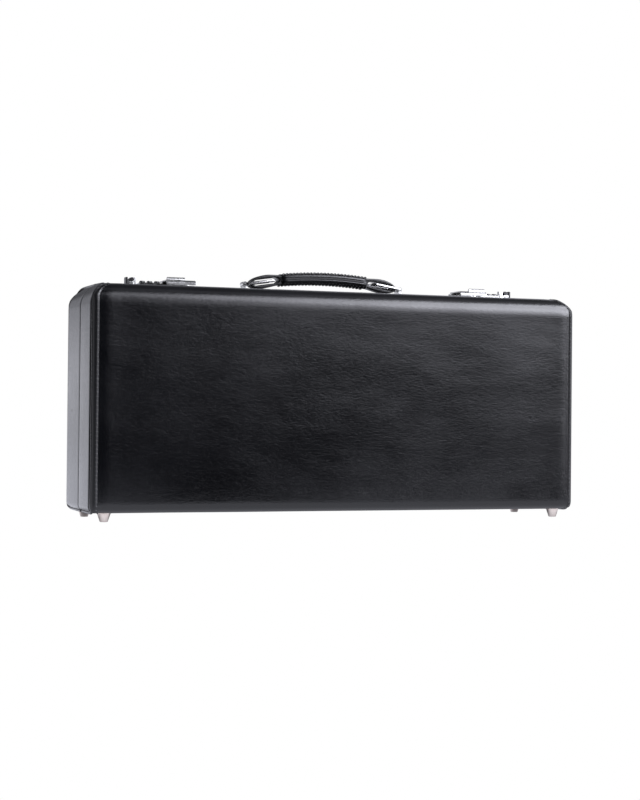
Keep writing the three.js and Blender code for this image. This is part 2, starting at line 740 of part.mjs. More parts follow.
// The hole in one strap loop, which follows the middle line of the grip
function loopEye(side) {
  const roundX = eyeEndX - eyeHalf;
  const stations = [];
  for (let step = 0; step < eyeSteps; step += 1) {
    const turn = step / eyeSteps * Math.PI / 2;
    stations.push([eyeTipX + (eyeFullX - eyeTipX) * (1 - Math.cos(turn)), eyeHalf * Math.sin(turn)]);
  }
  for (let step = 0; step < eyeSteps; step += 1) {
    stations.push([eyeFullX + (roundX - eyeFullX) * step / eyeSteps, eyeHalf]);
  }
  for (let step = 0; step <= eyeSteps; step += 1) {
    const turn = step / eyeSteps * Math.PI / 2;
    stations.push([roundX + eyeHalf * Math.sin(turn), step < eyeSteps ? eyeHalf * Math.cos(turn) : 0]);
  }
  const eye = new THREE.Path();
  eye.moveTo(side * eyeTipX, gripCentre(eyeTipX));
  stations.slice(1).forEach(([x, half]) => eye.lineTo(side * x, gripCentre(x) + half));
  stations.slice(1, -1).reverse().forEach(([x, half]) => eye.lineTo(side * x, gripCentre(x) - half));
  eye.closePath();
  return eye;
}

const strapOutline = gripOutline(gripEndX, loopHalfHeight, gripSteps,
  (share) => Math.sin(share * Math.PI / 2));
sides.forEach((side) => strapOutline.holes.push(loopEye(side)));
const straps = prismAlongY(strapOutline, handleY - strapWidth / 2, handleY + strapWidth / 2);
const padOutline = gripOutline(gripPadEndX, () => gripPadHalf, padSteps, (share) => share);
const padGeometry = extruded(padOutline, padWidth - 2 * padRounding, {
  bevelEnabled: true, bevelThickness: padRounding, bevelSize: padRounding, bevelOffset: -padRounding,
  bevelSegments: bevelSteps,
});
padGeometry.rotateX(Math.PI / 2);
padGeometry.translate(0, handleY + padWidth / 2 - padRounding, 0);
addPiece('handle_grip', straps.add(solidOf(padGeometry)), edgeLeather);

// One oblong wire ring, drawn flat round its pivot and then turned to its angle at rest
function addRing(side) {
  const wire = ringWire / 2;
  const bevel = wire * (2 - Math.SQRT2);
  const reachX = ringReach + wire;
  const wide = ringInnerWidth / 2 + ringWire;
  const outer = roundedOutline(-wire, reachX, -wide, wide, ringBend, ringBend);
  const inner = roundedOutline(wire, reachX - ringWire, -wide + ringWire, wide - ringWire,
    ringBend - wire, ringBend - wire);
  outer.holes.push(new THREE.Path(inner.getPoints(arcSegments)));
  const geometry = extruded(outer, ringWire - 2 * bevel, {
    bevelEnabled: true, bevelThickness: bevel, bevelSize: bevel, bevelOffset: -bevel, bevelSegments: 1,
  });
  geometry.translate(0, 0, bevel - wire);
  if (side > 0) geometry.rotateZ(Math.PI);
  const solid = solidOf(geometry);
  const mesh = addPiece(`handle_ring_${sideName(side)}`, solid, nickel);
  mesh.position.set(side * postPivotX, handleY, topZ + postPivotHeight);
  mesh.rotation.y = side * THREE.MathUtils.degToRad(ringRestAngle);
}

function addPost(side) {
  const pivotZ = topZ + postPivotHeight;
  const plate = block(side * (postPlateOuterX - postPlateLength), side * postPlateOuterX,
    handleY - postPlateWidth / 2, handleY + postPlateWidth / 2, topZ, topZ + postPlateThickness);
  const web = block(side * (postPivotX - postWebLength / 2), side * (postPivotX + postWebLength / 2),
    handleY - postEyeWidth / 2, handleY + postEyeWidth / 2, topZ, pivotZ);
  const eye = rodAlongY(postEyeRadius, side * postPivotX, handleY - postEyeWidth / 2,
    handleY + postEyeWidth / 2, pivotZ);
  const bore = rodAlongY(ringWire / 2 + runningGap, side * postPivotX, handleY - postPlateWidth,
    handleY + postPlateWidth, pivotZ);
  addPiece(`handle_post_${sideName(side)}`, plate.add(web).add(eye).subtract(bore), nickel);
}

sides.forEach(addRing);
sides.forEach(addPost);

export default group;
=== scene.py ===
"""Looks of the clarinet case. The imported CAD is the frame; every piece here rides on one of its bodies.
Lengths are in millimetres, and Blender works in metres."""
import math

import bmesh
import bpy
from mathutils import Matrix, Vector, noise
from mathutils.geometry import tessellate_polygon


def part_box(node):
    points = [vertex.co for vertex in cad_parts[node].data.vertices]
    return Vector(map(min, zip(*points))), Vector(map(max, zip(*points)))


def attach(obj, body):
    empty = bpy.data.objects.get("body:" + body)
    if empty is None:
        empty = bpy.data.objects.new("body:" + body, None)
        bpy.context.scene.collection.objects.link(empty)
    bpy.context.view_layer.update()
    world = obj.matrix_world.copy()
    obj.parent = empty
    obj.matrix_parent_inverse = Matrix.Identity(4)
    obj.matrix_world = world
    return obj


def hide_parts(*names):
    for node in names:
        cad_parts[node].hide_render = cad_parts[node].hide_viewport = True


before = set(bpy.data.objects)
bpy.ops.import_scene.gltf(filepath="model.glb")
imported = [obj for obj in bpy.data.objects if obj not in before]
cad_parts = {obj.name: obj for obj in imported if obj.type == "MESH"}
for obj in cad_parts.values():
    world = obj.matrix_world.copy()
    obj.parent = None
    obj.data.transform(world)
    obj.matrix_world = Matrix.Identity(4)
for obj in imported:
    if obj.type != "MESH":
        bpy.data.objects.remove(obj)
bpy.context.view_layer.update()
MM = 0.001
SIDES = (("left", -1), ("right", 1))


def tenths(value):
    """A length of the frame, in millimetres to a tenth."""
    return round(value / MM, 1)


def centre_of(node):
    """The middle of a CAD node's box, in millimetres."""
    return [tenths((a + b) / 2) for a, b in zip(*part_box(node))]


# The case, from the frame: half its length and half its depth, and its heights without the feet
cover_low, cover_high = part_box("base_cover")
END_X, FACE_Y = tenths(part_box("base_end_cover_right")[1].x), tenths(cover_high.y)
LOW_Z, TOP_Z = tenths(cover_low.z), tenths(cover_high.z)
# The depths where the leathers of the lid and the base end, and the parting between them
LID_END, BASE_END = tenths(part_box("lid_cover")[1].y), tenths(cover_low.y)
PART_Y = (LID_END + BASE_END) / 2
# Each shell with its side of the middle plane, and where its leather ends, counted outwards from that plane
SHELLS = (("lid", -1, -LID_END), ("base", 1, BASE_END))
# Corners of the front outline and of the end outline, above and below, and the least radius of a smaller one
CORNER_R, FOOT_CORNER_R = 22.0, 7.0
ROLL_R, LOW_ROLL_R = 20.0, 9.0
LEAST_R = 0.6
# The covers end this far inside the end leathers, and their seam runs beside the border
STEP_IN = 1.8
SEAM_X = 258.5
# Piping: its radius, how deep it sinks in, and how far it lies behind the face
BEAD_R, BEAD_SINK, BEAD_BACK = 1.5, 0.55, 5.5
# The turns at which it leaves the corners above and below
TOP_BEAD_TURN, LOW_BEAD_TURN = math.radians(74), math.radians(66)
# How far it rises: above, for each side, at the corner and at the parting, and below
TOP_BEAD_RISES, LOW_BEAD_RISE = {-1: (0.5, 1.6), 1: (2.2, 1.7)}, 1.2
# How far from the parting it ends below, clear of the hinge, for each side, and its dip at two of the corners
BEAD_SHORT = {-1: 1.4, 1: 1.0}
BEAD_DIP = 1.5
# How far beside the centres of the corners it leaves them
TOP_BEAD_OUT = (CORNER_R - BEAD_SINK) * math.cos(TOP_BEAD_TURN)
LOW_BEAD_OUT = (FOOT_CORNER_R - BEAD_SINK) * math.cos(LOW_BEAD_TURN)
# A leather laid against the piping reaches this far into it
SNUG = 0.1


# Shares and angles
def smooth(share):
    share = min(1.0, max(0.0, share))
    return share * share * (3 - 2 * share)


def lerp(a, b, share):
    return a + (b - a) * share


def between(a, b, steps):
    """Values from a to b in equal steps."""
    return [lerp(a, b, k / steps) for k in range(steps + 1)]


def quarter(steps, first=0):
    """Angles from 0 to a right angle in equal steps."""
    return [math.pi / 2 * k / steps for k in range(first, steps + 1)]


def rounding(at, height, r, steps, first=1):
    """A round edge from a place and height outwards and up, as (place, height)."""
    return [(at + r * math.sin(t), height + r * (1 - math.cos(t))) for t in quarter(steps, first)]


def circle(steps):
    """Angles all round in equal steps."""
    return [2 * math.pi * k / steps for k in range(steps)]


def hump(at, middle, wide):
    """A soft hump of height 1 round a middle."""
    return math.exp(-((at - middle) / wide) ** 2)


# Meshes
def firm_normals(mesh, angle):
    """Lets the large faces set the normals, so that flat metal stays flat beside its rounded edges."""
    limit = math.cos(math.radians(angle))
    beside = [[] for _ in mesh.vertices]
    for face in mesh.polygons:
        for vert in face.vertices:
            beside[vert].append((face.normal.copy(), face.area))
    normals = []
    for face in mesh.polygons:
        for vert in face.vertices:
            near = (normal * area for normal, area in beside[vert] if normal.dot(face.normal) > limit)
            normals.append(sum(near, Vector()).normalized())
    mesh.normals_split_custom_set(normals)


def finish_mesh(name, mesh, material, body, replaces, angle, firm=False):
    """Makes the piece of a mesh in metres, smooth below an angle, riding on a body."""
    obj = bpy.data.objects.new(name, mesh)
    bpy.context.scene.collection.objects.link(obj)
    materials = material if isinstance(material, list) else [material]
    # A mesh from the stitch tree has its material already
    for one in materials[len(mesh.materials):]:
        mesh.materials.append(one)
    mesh.shade_smooth()
    if angle:
        mesh.set_sharp_from_angle(angle=math.radians(angle))
    if firm:
        firm_normals(mesh, angle)
    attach(obj, body)
    if replaces:
        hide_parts(replaces)
    return obj


def piece(name, build, material, body, replaces=None, angle=35, firm=False):
    """Makes the piece of a bmesh in millimetres, with doubles merged and faces turned outwards."""
    bmesh.ops.remove_doubles(build, verts=build.verts, dist=0.002)
    bmesh.ops.recalc_face_normals(build, faces=build.faces)
    bmesh.ops.scale(build, vec=(MM, MM, MM), verts=build.verts)
    mesh = bpy.data.meshes.new(name)
    build.to_mesh(mesh)
    build.free()
    return finish_mesh(name, mesh, material, body, replaces, angle, firm)


def add_grid(build, rows, close_rows=False, close_columns=False, flip=False):
    """Adds a grid of points, row by row, as quads."""
    made = [[build.verts.new(p) for p in row] for row in rows]
    high = len(made) if close_rows else len(made) - 1
    wide = len(made[0]) if close_columns else len(made[0]) - 1
    for i in range(high):
        a, b = made[i], made[(i + 1) % len(made)]
        for j in range(wide):
            k = (j + 1) % len(a)
            quad = [a[j], a[k], b[k], b[j]]
            build.faces.new(quad[::-1] if flip else quad)
    return made


def frames_along(points, closed):
    """Tangent, up and side directions that turn as little as possible along a path."""
    count = len(points)
    tangents = []
    for i in range(count):
        a = points[(i - 1) % count] if closed or i > 0 else points[i]
        b = points[(i + 1) % count] if closed or i < count - 1 else points[i]
        tangents.append((b - a).normalized())
    up = tangents[0].orthogonal().normalized()
    result = []
    for tangent in tangents:
        up = (up - tangent * up.dot(tangent)).normalized()
        result.append((tangent, up, tangent.cross(up)))
    return result


def add_tube(build, points, radius, sides, closed=False):
    """A round rod along a path."""
    rows = []
    for point, (_, up, side) in zip(points, frames_along(points, closed)):
        rows.append([point + up * (radius * math.cos(t)) + side * (radius * math.sin(t))
                     for t in circle(sides)])
    made = add_grid(build, rows, close_rows=closed, close_columns=True)
    if not closed:
        build.faces.new(made[0][::-1])
        build.faces.new(made[-1])


def add_turned(build, profile, centre, axis, sides):
    """A turned piece: profile is (radius, height) from one end to the other, along an axis."""
    axis = Vector(axis).normalized()
    up = axis.orthogonal().normalized()
    side = axis.cross(up)
    centre = Vector(centre)
    rows = []
    for radius, height in profile:
        # No ring is a point, so that the ends merge to one only later
        rows.append([centre + axis * height + (up * math.cos(t) + side * math.sin(t)) * max(radius, 1e-3)
                     for t in circle(sides)])
    add_grid(build, rows, close_columns=True)


def add_box(build, x, y, z, bevel, segments=2, slot=0):
    """A box with rounded edges between two values on each axis."""
    lows, highs = (Vector([pick(span) for span in (x, y, z)]) for pick in (min, max))
    one = bmesh.new()
    bmesh.ops.create_cube(one, size=1, matrix=Matrix.Translation((lows + highs) / 2) @ Matrix.Diagonal(
        (*(highs - lows), 1)))
    round_edges(one, one.edges[:], bevel, segments)
    join(build, one, slot)


def round_edges(build, edges, bevel, segments):
    bmesh.ops.bevel(build, geom=edges, offset=bevel, segments=segments, profile=0.5, affect="EDGES",
                    clamp_overlap=True)


def join(build, one, slot=0):
    """Puts the faces of one bmesh into another."""
    made = {}
    for vert in one.verts:
        made[vert] = build.verts.new(vert.co)
    for face in one.faces:
        new = build.faces.new([made[v] for v in face.verts])
        new.material_index = slot
    one.free()


def dressed(node, body, material, bevel, segments, screws=()):
    """A CAD node's own solid with its edges rounded off, and with screws."""
    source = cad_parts[node]
    one = bmesh.new()
    one.from_mesh(source.data)
    bmesh.ops.transform(one, matrix=Matrix.Diagonal((1 / MM, 1 / MM, 1 / MM, 1)) @ source.matrix_world,
                        verts=one.verts)
    bmesh.ops.remove_doubles(one, verts=one.verts, dist=0.002)
    bmesh.ops.dissolve_limit(one, angle_limit=math.radians(1), verts=one.verts, edges=one.edges)
    sharp = [e for e in one.edges if len(e.link_faces) == 2 and e.calc_face_angle(0) > math.radians(35)]
    round_edges(one, sharp, bevel, segments)
    for centre, up, r in screws:
        add_screw(one, centre, up, r)
    piece(node + "_look", one, material, body, node, 40, True)


def add_screw(build, centre, up, r):
    """A domed screw head with a cross in it, whose cross has the piece's second material: a darker metal,
    painted shade in place of the depth of a slot.
    """
    centre, up = Vector(centre), Vector(up).normalized()
    rim, dome = 0.1, 0.45 * r
    profile = [(r, -0.2), (r, rim)] + [(r * math.cos(t), rim + dome * math.sin(t)) for t in quarter(5, 1)]
    add_turned(build, profile, centre, up, 20)
    side = up.orthogonal().normalized()
    other = up.cross(side)
    arm, half, foot, crown = 0.62 * r, 0.13 * r, 0.55, 1.02
    # The cross stands out in the second, darker material: painted shade for the slot
    for a, b in ((side, other), (other, side)):
        verts = [build.verts.new(centre + a * (arm * i) + b * (half * j) + up * (rim + 0.02 + dome * h))
                 for h in (foot, crown) for i, j in ((-1, -1), (1, -1), (1, 1), (-1, 1))]
        for quad in ((4, 5, 6, 7), (0, 1, 5, 4), (1, 2, 6, 5), (2, 3, 7, 6), (3, 0, 4, 7)):
            build.faces.new([verts[i] for i in quad]).material_index = 1


# Outlines of the case
def turned_in(beyond, r):
    """How far a corner has turned inwards at a distance beyond its start."""
    return r - math.sqrt(r ** 2 - min(max(0, beyond), r) ** 2)


def half_width(z):
    """Half the length of the case at a height, from its front outline."""
    low = turned_in(LOW_Z + FOOT_CORNER_R - z, FOOT_CORNER_R)
    return END_X - turned_in(z - TOP_Z + CORNER_R, CORNER_R) - low


def half_depth(z):
    """Half the depth of the case at a height, from its end outline."""
    return FACE_Y - turned_in(z - TOP_Z + ROLL_R, ROLL_R) - turned_in(LOW_Z + LOW_ROLL_R - z, LOW_ROLL_R)


def ring_at(y, inset, arc):
    """The outline in X and Z of the case at a depth y, drawn in by an inset, as a closed ring."""
    beyond = abs(y) - FACE_Y + inset
    roll_r, low_roll_r = max(ROLL_R - inset, LEAST_R), max(LOW_ROLL_R - inset, LEAST_R)
    top = TOP_Z - inset - turned_in(beyond + roll_r, roll_r)
    low = LOW_Z + inset + turned_in(beyond + low_roll_r, low_roll_r)
    high_r, low_r = max(CORNER_R - inset, LEAST_R), max(FOOT_CORNER_R - inset, LEAST_R)
    end = END_X - inset
    points = []
    for sx, z, r, start in ((1, low + low_r, low_r, -90), (1, top - high_r, high_r, 0),
                            (-1, top - high_r, high_r, 90), (-1, low + low_r, low_r, 180)):
        for k in range(arc + 1):
            t = math.radians(start + 90 * k / arc)
            points.append(Vector((sx * (end - r) + r * math.cos(t), y, z + r * math.sin(t))))
    return points


# Leather: the radius of a cover's round edge; the radius, depth and end of its rim at the parting; and the
# steps of its border inwards
WRAP_R = 4.2
RIM_R, RIM_DEEP, RIM_END_X = 1.0, 5.4, 243.0
BORDER_STEPS = (0.25, 0.5, 0.8, 1.1, 1.4, 1.8, 2.4, 3.2, 4.4, 6, 8, 11, 15, 20, 27, 36, 46)
# The border tucks in behind the piping by this width, depth and slope
TUCK_WIDE, TUCK_DEEP, TUCK_SLOPE = 2.4, 4.3, 0.4
# The end leathers have this edge radius, and end this far behind the face below the top corner
END_EDGE_R, END_BACK = 1.4, 8.0


def profile_rows(parting):
    """Steps along the end outline from the parting under the bottom to the parting over the top:
    (kind, share, y, z) with y counted from the middle plane outwards."""
    low_start, top_start = FACE_Y - LOW_ROLL_R, FACE_Y - ROLL_R
    wall, front = 8, 64
    rows = [("bottom", 1 - k / 6, lerp(parting, low_start, k / 6), LOW_Z) for k in range(6)]
    rows += [("roll", 0, y, z) for y, z in rounding(low_start, LOW_Z, LOW_ROLL_R, 8, 0)]
    rows += [("front", 0, FACE_Y, z) for z in between(LOW_Z + LOW_ROLL_R, TOP_Z - ROLL_R, front)[1:-1]]
    for t in quarter(20):
        rows.append(("roll", 0, top_start + ROLL_R * math.cos(t), TOP_Z - ROLL_R + ROLL_R * math.sin(t)))
    rows += [("top", k / wall, lerp(top_start, parting, k / wall), TOP_Z) for k in range(1, wall + 1)]
    return rows


def cover_columns():
    """Columns of the cover from its left tuck to its right one: (side, kind, value)."""
    half = [("tuck", 1.0), ("tuck", 0.0)] + [("arc", share) for share in between(0, 1, 6)]
    half += [("in", step) for step in BORDER_STEPS]
    middle = [("at", share) for share in between(-1, 1, 64)[1:-1]]
    return [(-1,) + c for c in half] + [(0,) + c for c in middle] + [(1,) + c for c in half[::-1]]


def puff(x, z, x_edge):
    """How far the leather stands off its board: soft swells, a dip and a pillow beside the border, and the
    dip of the seam."""
    place = Vector((x / 70, 3.1, z / 45))
    swell = 0.20 * noise.noise(place) + 0.07 * noise.noise(place * 3.3)
    border = x_edge - abs(x)
    pillow = -0.28 * hump(border, 7, 4.0) + 0.16 * hump(border, 16, 7.0)
    seam = -0.12 * hump(border, END_X - STEP_IN - SEAM_X, 0.8)
    return swell * smooth((border - 3) / 15) + pillow + seam


def cover_point(sy, parting, row, column):
    """The point of a cover in one row of profile_rows and one column of cover_columns."""
    kind, share, y, z = row
    sx, part, value = column
    upper, wall = z > (LOW_Z + TOP_Z) / 2, kind in ("top", "bottom")
    beside = TOP_BEAD_OUT - CORNER_R if upper else LOW_BEAD_OUT - FOOT_CORNER_R
    x_edge = min(END_X - STEP_IN, max(half_width(z), END_X + beside))
    roll_r, roll_z = (ROLL_R, TOP_Z - ROLL_R) if upper else (LOW_ROLL_R, LOW_Z + LOW_ROLL_R)
    depth = FACE_Y - roll_r if wall else y
    if part == "tuck":
        px, py = x_edge - TUCK_WIDE * value, depth - TUCK_DEEP - TUCK_SLOPE * value
    elif part == "arc":
        t = math.pi / 2 * value
        px, py = x_edge - WRAP_R + WRAP_R * math.cos(t), depth - WRAP_R + WRAP_R * math.sin(t)
    elif part == "in":
        px, py = x_edge - WRAP_R - value, depth
    else:
        px, py = (x_edge - WRAP_R - BORDER_STEPS[-1]) * abs(value), depth
        sx = 1 if value >= 0 else -1
    lift = puff(sx * px, z, x_edge) if part in ("in", "at") else 0.0
    if wall:
        # Over a wall the columns run on to the parting, beside the piping, and the tuck goes down
        border = x_edge - BEAD_R + SNUG
        ease = smooth(share / 0.12)
        flat, sink = px, 0.0
        if part == "tuck":
            flat, sink = border - 0.2 * value, 1.8 * value * ease
        elif part == "arc":
            flat = border - 0.3 - 3.2 * value
        elif part == "in" and value < 8:
            flat = min(px, border - 3.6 - 0.75 * value)
        lift *= 0.4 * (1 - share)
        pz = z + (lift - sink if upper else sink - lift)
        return Vector((sx * lerp(px, flat, ease), sy * lerp(py, parting, share), pz))
    out = Vector((0, 1, 0))
    if kind == "roll":
        out = Vector((0, (y - FACE_Y + roll_r) / roll_r, (z - roll_z) / roll_r))
        lift *= 1 - 0.6 * abs(out.z)
    return Vector((sx * px, sy * (py + out.y * lift), z + out.z * lift))


def rim_steps(parting, first=0):
    """The round rim of a leather on its way to the parting: (depth, how deep below the surface)."""
    return [(parting + RIM_R * (1 - math.sin(t)), RIM_R * (1 - math.cos(t))) for t in quarter(4, first)]


def make_cover(label, sy, parting):
    """The front or back leather, from parting to parting, with its rim turned in over the board."""
    start = parting + RIM_R
    build = bmesh.new()
    columns = cover_columns()
    rows = [[cover_point(sy, start, row, column) for column in columns] for row in profile_rows(start)]
    for up in (1, -1):
        edge = rows[-1 if up > 0 else 0]
        rim = [[Vector((p.x, sy * depth, p.z - up * sink)) for p in edge]
               for depth, sink in rim_steps(parting, 1)]
        # Inside, the rim stops before the round corners
        rim.append([Vector((math.copysign(min(abs(p.x), RIM_END_X), p.x), sy * parting, p.z - up * RIM_DEEP))
                    for p in edge])
        rows = rows + rim if up > 0 else rim[::-1] + rows
    add_grid(build, rows, flip=sy > 0)
    name = f"{label}_front_leather" if sy < 0 else f"{label}_back_leather"
    piece(name, build, COVER, label, f"{label}_cover", 60)


def end_rows():
    """Steps along the front outline at one end, from the seam on top to the seam below: (x, z, nx, nz)."""
    def corner(z, r, up, angles):
        return [(END_X - r + r * math.cos(t), z + up * r * math.sin(t), math.cos(t), up * math.sin(t))
                for t in angles]

    top_z, low_z = TOP_Z - CORNER_R, LOW_Z + FOOT_CORNER_R
    first = math.acos((TOP_BEAD_OUT + BEAD_R - SNUG) / CORNER_R)
    last = math.acos((LOW_BEAD_OUT + BEAD_R - SNUG) / FOOT_CORNER_R)
    wall = [(END_X, z, 1, 0) for z in between(top_z, low_z, 40)[1:-1]]
    return (corner(top_z, CORNER_R, 1, between(first, 0, 24)) + wall
            + corner(low_z, FOOT_CORNER_R, -1, between(0, last, 10)))


def make_end(label, sy, side, sx, parting):
    """One end leather: over the top corner, down the end and round the bottom corner."""
    build = bmesh.new()
    rows = []
    for x, z, nx, nz in end_rows():
        # The edge beside the piping lies farther back and deeper below the top corner
        step = smooth((x - (END_X - 6)) / 4)
        limit = half_depth(z) - lerp(BEAD_BACK + BEAD_R - SNUG, END_BACK, step)
        deep = lerp(1.6, STEP_IN + 0.6, step)
        start, stop = parting + RIM_R, limit - END_EDGE_R
        # Depth, how deep below the surface, and whether the leather is puffed there
        line = [(parting, RIM_DEEP, False)]
        line += [(depth, sink, False) for depth, sink in rim_steps(parting)[::-1]]
        line += [(depth, 0, True) for depth in between(start, stop, 12)[1:]]
        line += [(depth, sink, False) for depth, sink in rounding(stop, 0, END_EDGE_R, 4)]
        line.append((limit + 0.15, deep, False))
        row = []
        for depth, sink, puffed in line:
            lift = -sink
            if puffed:
                share = (depth - start) / (stop - start)
                swell = 0.18 + 0.10 * noise.noise(Vector((depth / 30, 7.7 + sx, z / 40)))
                swell += 1.1 * smooth((z - (TOP_Z - 7)) / 5)
                lift += swell * math.sin(math.pi * min(1, max(0, share))) ** 0.7
            row.append(Vector((sx * (x + nx * lift), sy * depth, z + nz * lift)))
        rows.append(row)
    add_grid(build, rows, flip=(sx * sy) < 0)
    piece(f"{label}_end_leather_{side}", build, LEATHER, label, f"{label}_end_cover_{side}", 60)


def bead_path(sx, sy, parting):
    """Centre line of a piped edge, from the parting over the top to the parting below."""
    corner_rise, crest_rise = TOP_BEAD_RISES[sy]

    def corner(up, t):
        r_out, r_face = (CORNER_R, ROLL_R) if up > 0 else (FOOT_CORNER_R, LOW_ROLL_R)
        turn = math.degrees(t)
        # The piping dips at the top corner of the base and at the foot corner of the lid
        dip = BEAD_DIP * smooth((turn - 12) / 18) * smooth((56 - turn) / 8) if up * sy > 0 else 0
        x = min(END_X - r_out + (r_out - BEAD_SINK - dip) * math.cos(t), END_X - STEP_IN - BEAD_SINK)
        rise = r_out * (1 - math.sin(t))
        ease = smooth((turn - 50) / 16) * (corner_rise if up > 0 else LOW_BEAD_RISE)
        z = (TOP_Z if up > 0 else LOW_Z) - up * (rise + (BEAD_SINK + dip) * math.sin(t) - ease)
        y = FACE_Y - turned_in(r_face - rise, r_face) - BEAD_BACK
        return Vector((sx * x, sy * y, z))

    start, finish = corner(1, TOP_BEAD_TURN), corner(-1, LOW_BEAD_TURN)
    crest = Vector((start.x, sy * (parting + 0.2), start.z - corner_rise + crest_rise))
    hinge_end = Vector((finish.x, sy * (parting + BEAD_SHORT[sy]), finish.z))
    points = [crest.lerp(start, k / 8) for k in range(8)]
    points += [corner(1, t) for t in between(TOP_BEAD_TURN, 0, 22)]
    points += [corner(1, 0).lerp(corner(-1, 0), k / 24) for k in range(1, 24)]
    points += [corner(-1, t) for t in between(0, LOW_BEAD_TURN, 12)]
    points += [finish.lerp(hinge_end, k / 8) for k in range(1, 9)]
    # Ease the corners of the path
    for _ in range(3):
        eased = [(a + b * 2 + c) / 4 for a, b, c in zip(points, points[1:], points[2:])]
        points = [points[0]] + eased + [points[-1]]
    return points


def make_piping(label, sy, side, sx, parting):
    build = bmesh.new()
    add_tube(build, bead_path(sx, sy, parting), BEAD_R, 14)
    piece(f"{label}_piping_look_{side}", build, PIPING, label, f"{label}_piping_{side}", 0)


# Shader maths
class Wire:
    """A socket of a node tree that Python's own operators join to Math nodes."""

    def __init__(self, tree, socket):
        self.tree, self.socket = tree, socket

    def maths(self, operation, *others):
        values = dict(enumerate((self,) + others))
        return node_of(self.tree, "ShaderNodeMath", 0, {"operation": operation}, values)

    def __add__(self, other):
        return self.maths("ADD", other)

    def __sub__(self, other):
        return self.maths("SUBTRACT", other)

    def __mul__(self, other):
        return self.maths("MULTIPLY", other)

    __radd__, __rmul__ = __add__, __mul__

    def __rsub__(self, other):
        return self * -1 + other

    def clamp(self, low, high):
        return self.maths("MAXIMUM", low).maths("MINIMUM", high)

    def ramp(self, low, high, out_low=0.0, out_high=1.0):
        """Goes smoothly from out_low to out_high as the value goes from low to high."""
        limits = {"From Min": low, "From Max": high, "To Min": out_low, "To Max": out_high}
        return node_of(self.tree, "ShaderNodeMapRange", "Result", {"interpolation_type": "SMOOTHSTEP"},
                       Value=self, **limits)


def node_of(tree, kind, output=0, settings=None, sockets=None, **named):
    """Adds any node: sets it, then its inputs by number or by name, and gives one of its outputs."""
    node = tree.nodes.new(kind)
    for name, value in (settings or {}).items():
        setattr(node, name, value)
    inputs = {name.replace("__", " "): value for name, value in named.items()}
    for key, value in {**(sockets or {}), **inputs}.items():
        if isinstance(value, Wire):
            tree.links.new(value.socket, node.inputs[key])
        else:
            node.inputs[key].default_value = value
    return Wire(tree, node.outputs[output]) if len(node.outputs) else None


def outputs_of(tree, kind, **named):
    """Adds a node and gives all of its outputs."""
    return [Wire(tree, socket) for socket in node_of(tree, kind, **named).socket.node.outputs]


def place(tree, scale=(1, 1, 1), turn=(0, 0, 0)):
    """The point of the piece in metres, stretched by a scale and turned by angles in radians."""
    at = node_of(tree, "ShaderNodeTexCoord", "Object")
    return node_of(tree, "ShaderNodeMapping", 0, {"vector_type": "POINT"}, Vector=at, Scale=scale,
                   Rotation=turn)


def axes(tree, vector):
    """The three parts of a vector."""
    return outputs_of(tree, "ShaderNodeSeparateXYZ", Vector=vector)


def texture(tree, vector, scale, detail=3.0, roughness=0.55, distortion=0.0):
    return node_of(tree, "ShaderNodeTexNoise", "Fac", Vector=vector, Scale=scale, Detail=detail,
                   Roughness=roughness, Distortion=distortion)


def tint(tree, share, dark, light):
    """A colour between two, by a share."""
    return node_of(tree, "ShaderNodeMix", 2, {"data_type": "RGBA"}, {0: share, 6: (*dark, 1), 7: (*light, 1)})


def mix_of(tree, share, first, second):
    """A shader between two, by a share."""
    return node_of(tree, "ShaderNodeMixShader", 0, None, {0: share, 1: first, 2: second})


# Materials: each pair of colours is the darkest and the lightest of the finish
def new_material(name, **constants):
    material = bpy.data.materials.new(name)
    material.use_nodes = True
    shader = material.node_tree.nodes["Principled BSDF"]
    for key, value in constants.items():
        shader.inputs[key.replace("__", " ")].default_value = value
    return material, material.node_tree, shader


def plug(tree, shader, **wires):
    for key, wire in wires.items():
        tree.links.new(wire.socket, shader.inputs[key.replace("__", " ")])


def bump(tree, shader, height, strength, distance, under=None):
    """Bumps the surface by a height, on top of an earlier bump if one is given."""
    extra = {"Normal": under} if under else {}
    made = node_of(tree, "ShaderNodeBump", Height=height, Strength=strength, Distance=distance, **extra)
    tree.links.new(made.socket, shader.inputs["Normal"])
    return made


def leather_material(name, dark, light, rough, crease=1.0, coat=0.0, matt_edge=0.0):
    """Leather, whose creases and coat have a strength, and which can be duller beyond the seam."""
    material, tree, shader = new_material(name, Coat__Weight=coat, Coat__Roughness=0.25, IOR=1.5)
    at = place(tree)
    # Fine pebbles, short creases that run along the case, small scuffs, and slow clouds of wear
    pebble = node_of(tree, "ShaderNodeTexVoronoi", "Distance", {"feature": "SMOOTH_F1"},
                     Vector=place(tree, (700, 700, 900)), Scale=1.0)
    grain = texture(tree, place(tree, (240, 240, 620)), 1.0, 4.0, 0.62, 0.5)
    crinkle = texture(tree, place(tree, (150, 150, 330), (0.0, 0.25, 0.0)), 1.0, 5.0, 0.7, 1.2)
    scuffs = texture(tree, place(tree, (60, 60, 300), (0.0, -0.12, 0.0)), 1.0, 3.0, 0.6, 0.8)
    scuffs = scuffs.ramp(0.62, 0.74)
    cloud = texture(tree, at, 9.0)
    x, _, _ = axes(tree, at)
    edge = x.maths("ABSOLUTE").ramp((SEAM_X - 0.5) * MM, (SEAM_X + 1.5) * MM, 0.0, matt_edge)
    shine = cloud.ramp(0.3, 0.7, rough - 0.04, rough + 0.04) + crinkle * 0.10 - 0.05 + scuffs * 0.05
    share = (cloud * 0.6 + grain * 0.4).ramp(0.3, 0.7)
    plug(tree, shader, Base__Color=tint(tree, share, dark, light), Roughness=shine + edge)
    first = bump(tree, shader, crinkle.ramp(0.28, 0.62), 0.09 * crease, 0.0004)
    second = bump(tree, shader, grain, 0.17 * crease, 0.0004, first)
    bump(tree, shader, pebble, 0.05 * crease, 0.0003, second)
    return material


